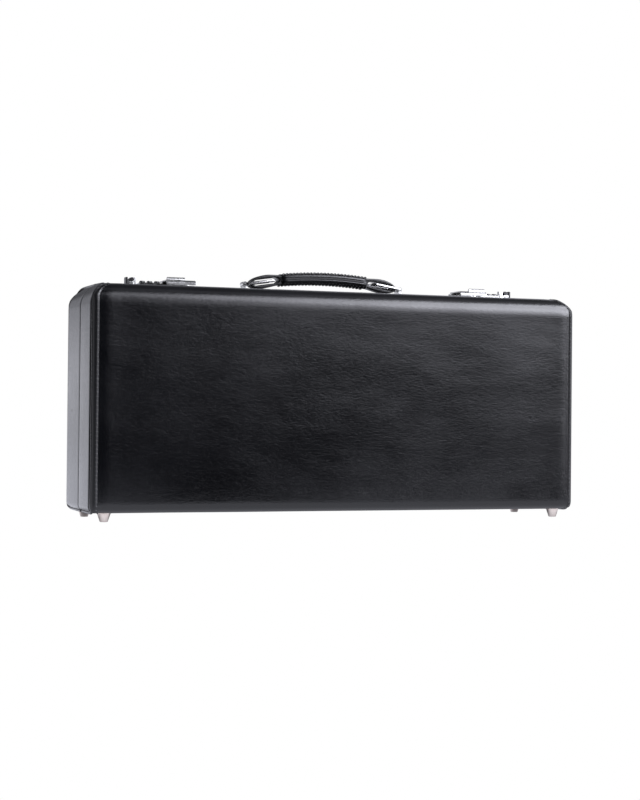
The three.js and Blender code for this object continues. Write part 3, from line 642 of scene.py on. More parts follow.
def metal_material(name, dark, light, rough):
    """Metal with slow clouds and fine scratches."""
    material, tree, shader = new_material(name, Metallic=1.0)
    cloud = texture(tree, place(tree), 60.0)
    fine = texture(tree, place(tree, (900, 120, 900)), 1.0)
    plug(tree, shader, Base__Color=tint(tree, cloud.ramp(0.3, 0.7), dark, light),
         Roughness=cloud.ramp(0.25, 0.75, rough, rough + 0.10) + fine * 0.05 - 0.025)
    bump(tree, shader, fine, 0.06, 0.0001)
    return material


def plush_material(name, dark, light):
    """Plush with a fine pile that is brushed here and there."""
    material, tree, shader = new_material(name, Roughness=0.9, Sheen__Weight=0.7, Sheen__Roughness=0.45)
    pile = texture(tree, place(tree), 2600.0, 2.0)
    brushed = texture(tree, place(tree, (14, 14, 30)), 1.0, 4.0, 0.6, 1.0)
    share = (brushed * 0.75 + pile * 0.25).ramp(0.36, 0.64)
    plug(tree, shader, Base__Color=tint(tree, share, dark, light))
    first = bump(tree, shader, brushed, 0.25, 0.0015)
    bump(tree, shader, pile, 0.6, 0.0004, first)
    return material


def board_material(name, dark, light):
    """Fibre board."""
    material, tree, shader = new_material(name, Roughness=0.85)
    fibre = texture(tree, place(tree, (300, 900, 300)), 1.0, 4.0)
    plug(tree, shader, Base__Color=tint(tree, fibre.ramp(0.3, 0.7), dark, light))
    bump(tree, shader, fibre, 0.4, 0.0003)
    return material


BLACK = (0.0012, 0.0013, 0.0018), (0.0030, 0.0032, 0.0043)
LEATHER = leather_material("black leather", *BLACK, 0.17)
COVER = leather_material("cover leather", *BLACK, 0.17, matt_edge=0.35)
PIPING = leather_material("piping leather", (0.0025, 0.0025, 0.0030), (0.0055, 0.0055, 0.0065), 0.26,
                          crease=0.5, coat=0.3)
GRIP = leather_material("handle leather", (0.0030, 0.0030, 0.0033), (0.0070, 0.0070, 0.0074), 0.30,
                        crease=0.8)
THREAD = leather_material("thread", (0.014, 0.014, 0.015), (0.036, 0.036, 0.038), 0.30, crease=0.2, coat=0.3)
NICKEL = metal_material("nickel", (0.62, 0.62, 0.61), (0.78, 0.78, 0.77), 0.10)
BLACK_METAL = metal_material("black metal", (0.05, 0.05, 0.052), (0.10, 0.10, 0.10), 0.20)
FOOT_METAL = metal_material("foot metal", (0.60, 0.52, 0.47), (0.74, 0.67, 0.62), 0.20)
STEEL = metal_material("steel", (0.32, 0.33, 0.34), (0.46, 0.46, 0.47), 0.30)
WHEEL = metal_material("wheel metal", (0.030, 0.030, 0.032), (0.06, 0.06, 0.062), 0.34)
PLUSH = plush_material("plush", (0.006, 0.008, 0.018), (0.016, 0.020, 0.038))
BOARD = board_material("board", (0.012, 0.012, 0.013), (0.022, 0.021, 0.021))
DIGIT, _, _ = new_material("digit paint", Base__Color=(0.7, 0.7, 0.68, 1), Roughness=0.5)

for label, sy, parting in SHELLS:
    make_cover(label, sy, parting)
    for side, sx in SIDES:
        make_end(label, sy, side, sx, parting)
        make_piping(label, sy, side, sx, parting)


# Stitches
def stitch_tree():
    """Stitches along a line: one ball at each step, drawn out along the direction that its points hold."""
    tree = bpy.data.node_groups.new("stitches", "GeometryNodeTree")
    face = tree.interface
    face.new_socket("Geometry", in_out="INPUT", socket_type="NodeSocketGeometry")
    face.new_socket("Geometry", in_out="OUTPUT", socket_type="NodeSocketGeometry")
    for name in ("Pitch", "Length", "Width"):
        face.new_socket(name, in_out="INPUT", socket_type="NodeSocketFloat")
    face.new_socket("Material", in_out="INPUT", socket_type="NodeSocketMaterial")
    lines, pitch, length, width, material, _ = outputs_of(tree, "NodeGroupInput")
    curve = node_of(tree, "GeometryNodeMeshToCurve", Mesh=lines)
    points = node_of(tree, "GeometryNodeCurveToPoints", "Points", {"mode": "LENGTH"}, Curve=curve,
                     Length=pitch)
    ball = node_of(tree, "GeometryNodeMeshUVSphere", "Mesh", Segments=8, Rings=6, Radius=0.5)
    along = node_of(tree, "GeometryNodeInputNamedAttribute", "Attribute", {"data_type": "FLOAT_VECTOR"},
                    Name="along")
    turn = node_of(tree, "FunctionNodeAlignRotationToVector", "Rotation", {"axis": "Z"}, Vector=along)
    size = node_of(tree, "ShaderNodeCombineXYZ", X=width, Y=width, Z=length)
    copies = node_of(tree, "GeometryNodeInstanceOnPoints", Points=points, Instance=ball, Rotation=turn,
                     Scale=size)
    real = node_of(tree, "GeometryNodeRealizeInstances", Geometry=copies)
    paint = node_of(tree, "GeometryNodeSetMaterial", Geometry=real, Material=material)
    node_of(tree, "NodeGroupOutput", Geometry=paint)
    return tree


STITCHES = stitch_tree()


def line_mesh(name, paths):
    """Lines through points, each point with the direction of its stitch."""
    mesh = bpy.data.meshes.new(name)
    points, edges = [], []
    for path in paths:
        first = len(points)
        points += path
        edges += [(first + i, first + i + 1) for i in range(len(path) - 1)]
    mesh.from_pydata([Vector(at) * MM for at, _ in points], edges, [])
    along = mesh.attributes.new("along", "FLOAT_VECTOR", "POINT")
    for item, (_, way) in zip(along.data, points):
        item.vector = way
    return mesh


def evaluated_mesh(obj):
    """The mesh that an object's curve, text or modifiers make."""
    return bpy.data.meshes.new_from_object(obj.evaluated_get(bpy.context.evaluated_depsgraph_get()))


def make_stitches(name, paths, pitch, length, width, material, body):
    """Real stitches along paths, made by the tree and kept as a plain mesh."""
    guide = bpy.data.objects.new(name + "_line", line_mesh(name, paths))
    bpy.context.scene.collection.objects.link(guide)
    step = guide.modifiers.new("stitches", "NODES")
    step.node_group = STITCHES
    values = {"Pitch": pitch * MM, "Length": length * MM, "Width": width * MM, "Material": material}
    for item in STITCHES.interface.items_tree:
        if item.in_out == "INPUT" and item.name in values:
            step[item.identifier] = values[item.name]
    mesh = evaluated_mesh(guide)
    guide.modifiers.remove(step)
    bpy.data.objects.remove(guide)
    finish_mesh(name, mesh, material, body, None, 0)


def whip_path(sy, sx, parting):
    """Stitches that cross the rounded border of the cover, beside the piping, with a slant upwards."""
    proud, slant = 0.12, 0.35
    out = Vector((sx * 0.2, sy * 0.98, 0)) * proud
    path = []
    for row in profile_rows(parting):
        if row[0] in ("roll", "front"):
            inner, middle, outer = (cover_point(sy, parting, row, (sx, part, value))
                                    for part, value in (("in", 1.8), ("in", 0.2), ("arc", 0.75)))
            path.append((middle + out, (outer - inner).normalized() + Vector((0, 0, slant))))
    return path


WHIP_PITCH, WHIP_LONG, WHIP_WIDE = 4.3, 2.9, 0.7
for label, sy, parting in SHELLS:
    make_stitches(f"{label}_seam_stitches", [whip_path(sy, sx, parting) for _, sx in SIDES],
                  WHIP_PITCH, WHIP_LONG, WHIP_WIDE, THREAD, label)


# Feet: how far they stand in from the ends and faces, and the radii and rounded edges below and above
FOOT_IN_X, FOOT_IN_Y = 17.5, 16.3
FOOT_TIP_R, FOOT_TIP_EDGE = 4.2, 1.0
FOOT_R, FOOT_EDGE = 7.0, 0.4


def make_foot(label, side, sx, sy):
    tip, shoulder, cone_z = FOOT_TIP_R - FOOT_TIP_EDGE, FOOT_R - FOOT_EDGE, LOW_Z - 1.0
    profile = [(0, 0), (tip, 0)] + rounding(tip, 0, FOOT_TIP_EDGE, 6)
    profile += list(zip(between(FOOT_TIP_R, shoulder, 8), between(FOOT_TIP_EDGE, cone_z, 8)))[1:]
    profile += rounding(shoulder, cone_z, FOOT_EDGE, 4) + [(FOOT_R, LOW_Z - 0.1), (0, LOW_Z - 0.1)]
    build = bmesh.new()
    add_turned(build, profile, (sx * (END_X - FOOT_IN_X), sy * (FACE_Y - FOOT_IN_Y), 0), (0, 0, 1), 64)
    piece(f"{label}_foot_look_{side}", build, FOOT_METAL, label, f"{label}_foot_{side}", 50)


for label, sy, _ in SHELLS:
    for side, sx in SIDES:
        make_foot(label, side, sx, sy)

# Outlines with thickness: drawn in X and Z and thick along Y, or drawn in Y and Z and thick along X
ALONG_Y = Matrix.Rotation(math.radians(90), 4, "X")
ALONG_X = Matrix(((0, 0, 1, 0), (1, 0, 0, 0), (0, 1, 0, 0), (0, 0, 0, 1)))


def curve_mesh(data):
    """The mesh that a curve or text makes."""
    obj = bpy.data.objects.new("outline", data)
    bpy.context.scene.collection.objects.link(obj)
    mesh = evaluated_mesh(obj)
    bpy.data.objects.remove(obj)
    return mesh


def add_outline(build, loops, half, bevel, turn, segments=2, slot=0):
    """A flat outline with holes, given a thickness to both sides and rounded edges."""
    data = bpy.data.curves.new("outline", "CURVE")
    data.dimensions, data.fill_mode = "2D", "BOTH"
    data.extrude, data.bevel_depth, data.bevel_resolution = half - bevel, bevel, segments
    data.offset = -bevel
    for loop in loops:
        spline = data.splines.new("POLY")
        spline.points.add(len(loop) - 1)
        for point, (x, y) in zip(spline.points, loop):
            point.co = (x, y, 0, 1)
        spline.use_cyclic_u = True
    one = bmesh.new()
    one.from_mesh(curve_mesh(data))
    bmesh.ops.remove_doubles(one, verts=one.verts, dist=0.001)
    bmesh.ops.transform(one, matrix=turn, verts=one.verts)
    join(build, one, slot)


def arc_points(cx, cy, r, start, stop, steps):
    """An arc between two angles in degrees."""
    angles = [math.radians(degrees) for degrees in between(start, stop, steps)]
    return [(cx + r * math.cos(t), cy + r * math.sin(t)) for t in angles]


def rounded(x0, x1, y0, y1, r):
    """A rectangle with round corners, as a loop."""
    corners = ((x1 - r, y0 + r, -90), (x1 - r, y1 - r, 0), (x0 + r, y1 - r, 90), (x0 + r, y0 + r, 180))
    return [point for x, y, start in corners for point in arc_points(x, y, r, start, start + 90, 8)]


def bend(a, control, b, steps):
    """A curve from a to b that leans towards a control point."""
    return [tuple(lerp(lerp(a[i], control[i], t), lerp(control[i], b[i], t), t) for i in (0, 1))
            for t in between(0, 1, steps)]


# Handle: its depth, the height of its middle line and how much that bows down to the ends
HANDLE_Y = 11.5
GRIP_Z, GRIP_BOW, GRIP_END = TOP_Z + 16.8, 8.1, 83.2
# Strap: half its width, its rounded edges and half its height under the pad; half the height and the length
# of its loops; and half the height of their eyes with the places where these begin, are full and end
STRAP_HALF, STRAP_EDGE, STRAP_THIN = 7.0, 1.3, 5.3
LOOP_HALF, LOOP_LONG = 7.0, 17.0
EYE_HALF, EYE_TIP, EYE_FULL, EYE_END = 3.0, 50.5, 56.0, 79.0
# Pad: its end, half its height and half its width, in the middle and at the ends
PAD_END, PAD_HIGH, PAD_END_HIGH, PAD_WIDE, PAD_END_WIDE = 48.0, 5.65, 5.35, 9.7, 8.5
# Rings: where they pivot, their length, half width, bend and wire, and how they lie at rest
PIVOT_X, PIVOT_Z = 88.0, TOP_Z + 8.3
RING_LONG, RING_HALF, RING_BEND, WIRE_R, RING_TILT = 31.5, 9.1, 2.6, 1.5, math.radians(8.5)


def grip_centre(x):
    return GRIP_Z - GRIP_BOW * (x / GRIP_END) ** 2


def loop_half(x):
    """Half the height of the strap: thin under the pad, full at the loops and round at its ends."""
    full = GRIP_END - LOOP_LONG
    if abs(x) >= full:
        return LOOP_HALF * math.sqrt(max(0, 1 - ((abs(x) - full) / LOOP_LONG) ** 2))
    return STRAP_THIN + (LOOP_HALF - STRAP_THIN) * smooth((abs(x) - PAD_END) / (full - PAD_END))


def eye_loop(s):
    """The hole in one strap loop, along the middle line of the grip."""
    upper = bend((EYE_TIP, 0), (EYE_TIP + 1.5, EYE_HALF), (EYE_FULL, EYE_HALF), 6)
    upper += [(x, EYE_HALF) for x in between(EYE_FULL, EYE_END - EYE_HALF, 6)[1:-1]]
    upper += arc_points(EYE_END - EYE_HALF, 0, EYE_HALF, 90, 0, 6)
    loop = upper + [(x, -h) for x, h in upper[-2:0:-1]]
    return [(s * x, grip_centre(x) + h) for x, h in loop]


def make_strap():
    """The strap with a loop and an eye at each end."""
    build = bmesh.new()
    stations = [GRIP_END * math.sin(math.pi / 2 * share) for share in between(-1, 1, 120)]
    outer = [(x, grip_centre(x) - loop_half(x)) for x in stations]
    outer += [(x, grip_centre(x) + loop_half(x)) for x in stations[-2:0:-1]]
    add_outline(build, [outer] + [eye_loop(s) for _, s in SIDES], STRAP_HALF, STRAP_EDGE,
                Matrix.Translation((0, HANDLE_Y, 0)) @ ALONG_Y, 4)
    strap = piece("handle_strap_look", build, GRIP, "handle", "handle_grip", 50)


def make_pad():
    """The pad of the grip, drawn in at its ends, with a cross-section between round and square."""
    squareness = 0.62
    build = bmesh.new()
    rows = []
    for x in between(-PAD_END, PAD_END, 96):
        near_end = smooth((PAD_END - abs(x)) / 3.0)
        high = lerp(PAD_END_HIGH, PAD_HIGH, near_end) + 0.12 * noise.noise(Vector((x / 7, 2, 0)))
        wide = lerp(PAD_END_WIDE, PAD_WIDE, near_end)
        ring = []
        for t in circle(40):
            c, d = (math.copysign(abs(value) ** squareness, value) for value in (math.cos(t), math.sin(t)))
            ring.append(Vector((x, HANDLE_Y + wide * c, grip_centre(x) + high * d)))
        rows.append(ring)
    made = add_grid(build, rows, close_columns=True)
    # Domed ends
    for ring, sign in ((made[0], -1), (made[-1], 1)):
        middle = Vector((ring[0].co.x + sign * 1.2, HANDLE_Y, grip_centre(ring[0].co.x)))
        inner = [build.verts.new(v.co.lerp(middle, 0.35)) for v in ring]
        for j, vert in enumerate(ring):
            k = (j + 1) % len(ring)
            build.faces.new([vert, ring[k], inner[k], inner[j]])
        build.faces.new(inner)
    pad = piece("handle_pad_look", build, GRIP, "handle", angle=0)


def make_pad_trim():
    """Two piped lines along each side of the pad, and laced edges above and below."""
    line_r, line_heights, line_y, line_in, line_end, lace_end = 0.8, (-1.9, 2.0), 9.75, 1.2, 47.2, 46.5
    build = bmesh.new()
    for _, side in SIDES:
        for up in line_heights:
            path = []
            for x in between(-line_end, line_end, 60):
                out = line_y - line_in * smooth((abs(x) - 43) / 5)
                path.append(Vector((x, HANDLE_Y + side * out, grip_centre(x) + up)))
            add_tube(build, path, line_r, 10)
    piece("handle_piping_look", build, PIPING, "handle", angle=0)
    # The lacing follows the bow of the grip, with a slant
    lace_y, lace_z, lace_slant = 6.5, 5.4, 0.34
    paths = []
    for _, side in SIDES:
        for up in (-1, 1):
            path = []
            for x in between(-lace_end, lace_end, 60):
                tilt = grip_centre(x + 0.5) - grip_centre(x - 0.5) + lace_slant
                at = Vector((x, HANDLE_Y + side * lace_y, grip_centre(x) + up * lace_z))
                path.append((at, (1, -side * up * 0.6, tilt)))
            paths.append(path)
    lace_pitch, lace_long, lace_wide = 3.8, 5.7, 2.4
    make_stitches("handle_lacing", paths, lace_pitch, lace_long, lace_wide, GRIP, "handle")


def make_ring(name, s):
    build = bmesh.new()
    across, rise = math.cos(RING_TILT), math.sin(RING_TILT)
    path = [Vector((s * (PIVOT_X - x * across), HANDLE_Y + y, PIVOT_Z + x * rise))
            for x, y in rounded(0, RING_LONG, -RING_HALF, RING_HALF, RING_BEND)]
    add_tube(build, path, WIRE_R, 16, closed=True)
    piece(f"handle_ring_look_{name}", build, NICKEL, f"ring_{name}", f"handle_ring_{name}", 0)


def make_post(name, s):
    """A plate with two screws, a web, and the barrel in which the ring turns."""
    plate_x, plate_half, plate_z = (81.5, 95), 8.0, TOP_Z + 1.6
    web_x, web_half = (86, 90), 5.3
    build = bmesh.new()
    for xs, half, zs, bevel, segments in ((plate_x, plate_half, (TOP_Z, plate_z), 0.45, 3),
                                          (web_x, web_half, (TOP_Z + 1, PIVOT_Z), 0.3, 2)):
        add_box(build, [s * x for x in xs], (HANDLE_Y - half, HANDLE_Y + half), zs, bevel, segments)
    bore, edge, outer, long = 1.85, 2.5, 2.8, 5.5
    barrel = [(bore, -long), (edge, -long), (outer, 0.3 - long)]
    barrel += [(r, -at) for r, at in barrel[::-1]]
    add_turned(build, barrel + barrel[:1], (s * PIVOT_X, HANDLE_Y, PIVOT_Z), (0, 1, 0), 40)
    screw_x, screw_y, screw_r = 92.7, 5.9, 1.35
    for y in (HANDLE_Y - screw_y, HANDLE_Y + screw_y):
        add_screw(build, (s * screw_x, y, plate_z), (0, 0, 1), screw_r)
    # The screws' crosses take the darker steel: painted shade for their slots
    piece(f"handle_post_look_{name}", build, [NICKEL, STEEL], "base", f"handle_post_{name}",
          firm=True)


make_strap()
make_pad()
make_pad_trim()

# Locks: the axle of the number wheels, the height of their digits and where these lie, and their grips
_, DIAL_Y, DIAL_Z = centre_of("dial_left_1")
DIGIT_HIGH, DIGIT_R = 3.1, 5.63
DIAL_GRIPS, DIAL_GRIP_DEEP, DIAL_GRIP_WIDE = 10, 0.5, 0.11
# Half the profile of a wheel: (half width, radius, share of the grips' depth)
DIAL_PROFILE = ((2.65, 1.7, 0), (2.65, 4.9, 0), (2.35, 5.35, 1), (1.9, 5.6, 1))
DIAL_STARTS = {"left": (3, 7, 5), "right": (1, 8, 4)}


def digit_mesh(text):
    data = bpy.data.curves.new("digit", "FONT")
    data.body, data.size, data.align_x, data.align_y = text, DIGIT_HIGH, "CENTER", "CENTER"
    data.resolution_u = 3
    return curve_mesh(data)


DIGITS = [digit_mesh(str(n)) for n in range(10)]


def make_dial(name, number, start):
    """One number wheel: ten shallow grips round its edge, and a plain digit between each two."""
    dial = f"dial_{name}_{number}"
    x = centre_of(dial)[0]
    profile = [(-offset, r, grip) for offset, r, grip in DIAL_PROFILE] + list(DIAL_PROFILE[::-1])
    build = bmesh.new()
    rows = []
    for offset, r, grip in profile + profile[:1]:
        ring = []
        for t in circle(120):
            phase = (t * DIAL_GRIPS / (2 * math.pi) + 0.5) % 1.0
            deep = r - DIAL_GRIP_DEEP * hump(min(phase, 1 - phase), 0, DIAL_GRIP_WIDE) * grip
            ring.append(Vector((x + offset, DIAL_Y - deep * math.sin(t), DIAL_Z + deep * math.cos(t))))
        rows.append(ring)
    add_grid(build, rows, close_columns=True)
    for n, mesh in enumerate(DIGITS):
        one = bmesh.new()
        one.from_mesh(mesh)
        turn = Matrix.Rotation(2 * math.pi * ((n - start) / 10), 4, "X")
        out = turn @ Matrix.Translation((0, 0, DIGIT_R))
        bmesh.ops.transform(one, matrix=Matrix.Translation((x, DIAL_Y, DIAL_Z)) @ out, verts=one.verts)
        join(build, one, 1)
    piece(f"dial_look_{name}_{number}", build, [WHEEL, DIGIT], dial, dial, 30)


def make_knob(name, s):
    """A black roller on a nickel block, between a black flange and a sloping nickel lug, and a foot."""
    low, high, block = TOP_Z + 1.7, TOP_Z + 10.4, TOP_Z + 6.2
    back, front = DIAL_Y + 4.5, DIAL_Y - 4.5
    flange_x, block_x, web_x, foot_x = (216, 218), (209.9, 216.2), (213, 216.3), (209.5, 214.5)
    roller_x, roller_r, edge, lug_x, lug_half = 211.7, 2.15, 0.4, 208, 2.0
    build = bmesh.new()
    # Each box in X, Y and Z, with the edges' radius, their steps and the material
    for xs, ys, zs, bevel, segments, slot in (
            (flange_x, (front, back), (low, high - 0.1), 0.45, 3, 0),
            (block_x, (front + 0.3, back - 0.3), (low, block), 0.4, 3, 1),
            (web_x, (front + 1, back - 1), (block - 0.4, block + 2.2), 0.4, 3, 0)):
        add_box(build, [s * x for x in xs], ys, zs, bevel, segments, slot)
    roller = [(0, front), (roller_r - edge, front), (roller_r, front + edge), (roller_r, back - edge),
              (roller_r - edge, back), (0, back)]
    add_turned(build, roller, (s * roller_x, 0, block + 1.9), (0, 1, 0), 32)
    lug = [(front, low), (back, low), (back, high), (front + 2.8, high)]
    add_outline(build, [lug], lug_half, 0.35, Matrix.Translation((s * lug_x, 0, 0)) @ ALONG_X, slot=1)
    add_box(build, [s * x for x in foot_x], (0.7, 5.7), (TOP_Z - 0.9, low + 0.4), 0.1, slot=1)
    piece(f"knob_look_{name}", build, [BLACK_METAL, NICKEL], f"knob_{name}", f"lock_knob_{name}",
          40, True)


def make_hasp(name, s):
    """A sheet that rolls over at the front, with a sloping knurled lip, on a barrel round the pin.
    Each outline is drawn in Y and Z."""
    x0, x1, high = 149.0, 180.2, TOP_Z + 7.6
    sheet_low, hem = high - 1.2, high - 4.8
    middle = Matrix.Translation((s * (x0 + x1) / 2, 0, 0)) @ ALONG_X
    build = bmesh.new()
    sheet = bend((-16.0, high), (-17.2, high), (-17.75, high - 0.51), 5)
    sheet += bend((-19.85, high - 2.37), (-20.0, high - 2.5), (-20.0, high - 2.7), 4) + [(-20.0, hem)]
    sheet += [(-18.8, hem)] + bend((-18.8, high - 3.5), (-18.8, high - 3.04), (-18.4, high - 2.7), 4)
    sheet += bend((-17.1, high - 1.5), (-16.73, sheet_low), (-16.2, sheet_low), 4)
    sheet += [(8.6, sheet_low), (8.6, high)]
    add_outline(build, [sheet], (x1 - x0) / 2, 0.25, middle)
    barrel_y, barrel_z, barrel_r, arm_half = 11.4, 241.0, 1.7, 12.6
    arm = [(8.0, high), (8.0, sheet_low)] + bend((9.7, high - 2.4), (9.9, 243.0), (9.7, barrel_z), 4)
    arm += arc_points(barrel_y, barrel_z, barrel_r, 180, 360, 10) + [(13.1, high - 0.6), (12.5, high)]
    add_outline(build, [arm], arm_half, 0.2, middle)
    lip_x, lip_half = 169.5, 9.5
    lip = [(-16.8, high - 0.5), (-18.0, high - 0.1), (-18.1, high + 0.2), (-17.85, high + 1.1)]
    lip += [(-16.9, high + 2.3), (-16.4, high + 2.85), (-15.9, high + 2.7)]
    lip += bend((-15.4, high + 2.2), (-13.5, high - 0.2), (-9.0, high - 0.2), 6) + [(-9.0, high - 0.5)]
    add_outline(build, [lip], lip_half, 0.15, Matrix.Translation((s * lip_x, 0, 0)) @ ALONG_X)
    # Knurls up the front of the lip
    knurl_r, knurl_pitch = 0.32, 1.4
    knurl = ((-17.9, 0.95), (-17.7, 1.45), (-16.95, 2.3), (-16.35, 2.75))
    for k in range(-6, 7):
        x = s * (lip_x + knurl_pitch * k)
        add_tube(build, [Vector((x, y, high + rise)) for y, rise in knurl], knurl_r, 8)
    piece(f"hasp_look_{name}", build, NICKEL, f"hasp_{name}", f"hasp_{name}", 35, True)


def make_lock(name, s):
    screw_r, screw_z, places = 1.15, TOP_Z + 1.4, ((150.5, -3.6), (219.6, -3.6), (219.6, 11.3))
    screws = [((s * x, y, screw_z), (0, 0, 1), screw_r) for x, y in places]
    # The screws' crosses take the darker steel: painted shade for their slots
    dressed(f"lock_body_{name}", "base", [NICKEL, STEEL], 0.2, 2, screws)
    dressed(f"keeper_{name}", "lid", NICKEL, 0.3, 3)
    for number, start in enumerate(DIAL_STARTS[name], 1):
        make_dial(name, number, start)
    make_knob(name, s)
    make_hasp(name, s)


for name, s in SIDES:
    make_ring(name, s)
    make_post(name, s)
    make_lock(name, s)

# Hinge: the screws of each leaf, their heads down
HINGE_SCREWS, HINGE_SCREW_X, HINGE_SCREW_Y, HINGE_SCREW_Z, HINGE_SCREW_R = 12, 205, 8.2, 8.25, 1.3
for body, sign in (("base", 1), ("lid", -1)):
    screws = [((x, PART_Y + sign * HINGE_SCREW_Y, HINGE_SCREW_Z), (0, 0, -1), HINGE_SCREW_R)
              for x in between(-HINGE_SCREW_X, HINGE_SCREW_X, HINGE_SCREWS - 1)]
    # The screws' crosses take the near-black wheel metal: painted shade for their slots
    dressed(f"{body}_hinge_leaf", body, [STEEL, WHEEL], 0.12, 1, screws)

# Inside: the front of the tray and the floor of its recesses; the walls between these, and the radii of their
# corners, edges and floors; and the tray's inset, its round edge and the height of its wall
INSERT_Y, RECESS_Y = tenths(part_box("base_tray")[0].y), 45.0
RECESS_WALL, RECESS_R, RECESS_EDGE, RECESS_FLOOR_R = 8.0, 14.0, 3.0, 13.0
TRAY_IN, TRAY_EDGE, TRAY_WALL = 5.9, 1.5, 10.0
# The accessory box: left, right, low and high, and the gap round its lid
BOX, BOX_GAP = (153.5, 252.5, 24, 66), 1.1


def stacked(x0, x1, low, high, count):
    """Recesses above each other: (left, right, low, high, corner radius, edge radius)."""
    steps = [low + k * (high + RECESS_WALL) for k in range(count)]
    return [(x0, x1, z, z + high, RECESS_R, RECESS_EDGE) for z in steps]


RECESSES = stacked(-252.5, 22.5, 24, 44, 4) + stacked(30.5, 145.5, 24, 96, 2)
RECESSES += stacked(153.5, 252.5, 74, 44 + 2 / 3, 3) + [(*BOX, 1.2, 0.5)]


def offset_loop(x0, x1, z0, z1, r, grow):
    return rounded(x0 - grow, x1 + grow, z0 - grow, z1 + grow, max(0.3, r + grow))


def make_tray():
    """The fitted tray: a flat top with round-edged recesses, each with a round floor."""
    build = bmesh.new()
    rim = [Vector((p.x, INSERT_Y, p.z)) for p in ring_at(0, TRAY_IN + TRAY_EDGE, 8)]
    loops = [[Vector((p.x, p.z, 0)) for p in rim]]
    for *box, r, edge in RECESSES:
        loops.append([Vector((x, z, 0)) for x, z in offset_loop(*box, r, edge)])
    verts = [build.verts.new((p.x, INSERT_Y, p.y)) for loop in loops for p in loop]
    for tri in tessellate_polygon(loops):
        build.faces.new([verts[i] for i in tri])
    for *box, r, edge in RECESSES:
        floor_r = min(RECESS_FLOOR_R, r)
        rows = [(edge * (1 - math.sin(t)), INSERT_Y + edge * (1 - math.cos(t))) for t in quarter(5)]
        rows.append((0, RECESS_Y - floor_r))
        rows += [(-floor_r * (1 - math.cos(t)), RECESS_Y - floor_r * (1 - math.sin(t)))
                 for t in quarter(8, 1)]
        grid = [[Vector((x, y, z)) for x, z in offset_loop(*box, r, grow)] for grow, y in rows]
        made = add_grid(build, grid, close_columns=True)
        build.faces.new(made[-1])
    # Round edge down to the wall
    grid = [rim]
    for t in quarter(5, 1):
        y, inset = INSERT_Y + TRAY_EDGE * (1 - math.cos(t)), TRAY_IN + TRAY_EDGE - TRAY_EDGE * math.sin(t)
        grid.append([Vector((p.x, y, p.z)) for p in ring_at(0, inset, 8)])
    grid.append([Vector((p.x, INSERT_Y + TRAY_WALL, p.z)) for p in ring_at(0, TRAY_IN, 8)])
    add_grid(build, grid, close_columns=True)
    obj = piece("tray_look", build, PLUSH, "base", "base_tray", 60)


def make_accessory_lid():
    """The padded lid of the accessory box, its two pins and its pull tab."""
    left, right, low, high = BOX
    xs, ys, zs = (left + BOX_GAP, right - BOX_GAP), (INSERT_Y, INSERT_Y + 5), (low + BOX_GAP, high - BOX_GAP)
    build = bmesh.new()
    add_box(build, xs, ys, zs, 1.3, 4)
    obj = piece("accessory_lid_look", build, PLUSH, "accessory_lid", "accessory_lid", 60)
    pin_r, pin_y, pin_z = 1.2, 3.5, 28.5
    build = bmesh.new()
    # Each pin reaches from the lid into the tray
    for x0, x1 in ((150.6, 155.5), (250.5, 255.4)):
        add_turned(build, [(0, x0), (pin_r, x0), (pin_r, x1), (0, x1)], (0, pin_y, pin_z), (1, 0, 0), 20)
    piece("accessory_pins_look", build, STEEL, "accessory_lid")
    tab_half = 0.6
    build = bmesh.new()
    add_outline(build, [rounded(197, 209, 59, 73, 3)], tab_half, tab_half / 2,
                Matrix.Translation((0, INSERT_Y - tab_half, 0)) @ ALONG_Y)
    piece("accessory_tab_look", build, PIPING, "accessory_lid", "accessory_tab")


# Lining of the lid: its face, its back and its border, and the insets of the lining and of the wall's plush
LINING_Y, LINING_BACK_Y, LINING_BORDER = -48.5, -56.4, 5.5
LINING_IN, WALL_LINING_IN, WALL_LINING_EDGE_IN = 6.0, 5.72, 5.5
WALL_LINING_EDGE_Y, WALL_LINING_LEVELS = -7.6, (-8.0, -16, -24, -32, -38, -42.5, -45, -47, -49, -50.5)


def make_lining():
    """Padded lining on the lid's face, and plush on its walls."""
    build = bmesh.new()
    start = LINING_Y - LINING_BORDER
    # The back and the border follow the rolled face of the lid, and the face swells softly
    border = [(0.0, LINING_BACK_Y), (0.0, start)]
    border += [(5.0 * (1 - math.cos(t)), start + 4.6 * math.sin(t)) for t in quarter(6, 1)]
    grid = [ring_at(y, LINING_IN + inset, 10) for inset, y in border]
    for inset, back in ((9, 0.55), (16, 0.2), (26, 0.02), (50, 0), (85, 0)):
        ring = []
        for p in ring_at(0, LINING_IN + inset, 10):
            swell = 0.10 * noise.noise(Vector((p.x / 40, 5, p.z / 40)))
            ring.append(Vector((p.x, min(LINING_Y - back + swell, LINING_Y), p.z)))
        grid.append(ring)
    made = add_grid(build, grid, close_columns=True)
    build.faces.new(made[-1])
    obj = piece("lid_lining_look", build, PLUSH, "lid", "lid_lining", 60)
    build = bmesh.new()
    grid = [ring_at(WALL_LINING_EDGE_Y, WALL_LINING_EDGE_IN, 10)]
    grid += [ring_at(y, WALL_LINING_IN, 10) for y in WALL_LINING_LEVELS]
    add_grid(build, grid, close_columns=True)
    obj = piece("lid_wall_lining_look", build, PLUSH, "lid", angle=60)


make_tray()
make_accessory_lid()
dressed("base_tongue", "base", PIPING, 0.35, 2)
make_lining()

# CAD nodes that show as they are
for node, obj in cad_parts.items():
    obj.data.materials.clear()
    obj.data.materials.append(BOARD if node.endswith("_shell") else STEEL)

# Camera, as fitted to the photograph: its place, its turns in degrees, its focal length in pixels of the
# photograph, and the photograph's height
CAMERA_AT = Vector((-617.2347, -1680.4770, 103.9216))
CAMERA_YAW, CAMERA_PITCH, CAMERA_ROLL = -20.00777, 0.648782, 0.552648
FOCAL_PX, PHOTO_HIGH_PX = 1679.2408, 800
SENSOR = 36


def turned(a, b, angle):
    """Two directions at right angles, turned together in their plane."""
    return a * math.cos(angle) + b * math.sin(angle), b * math.cos(angle) - a * math.sin(angle)


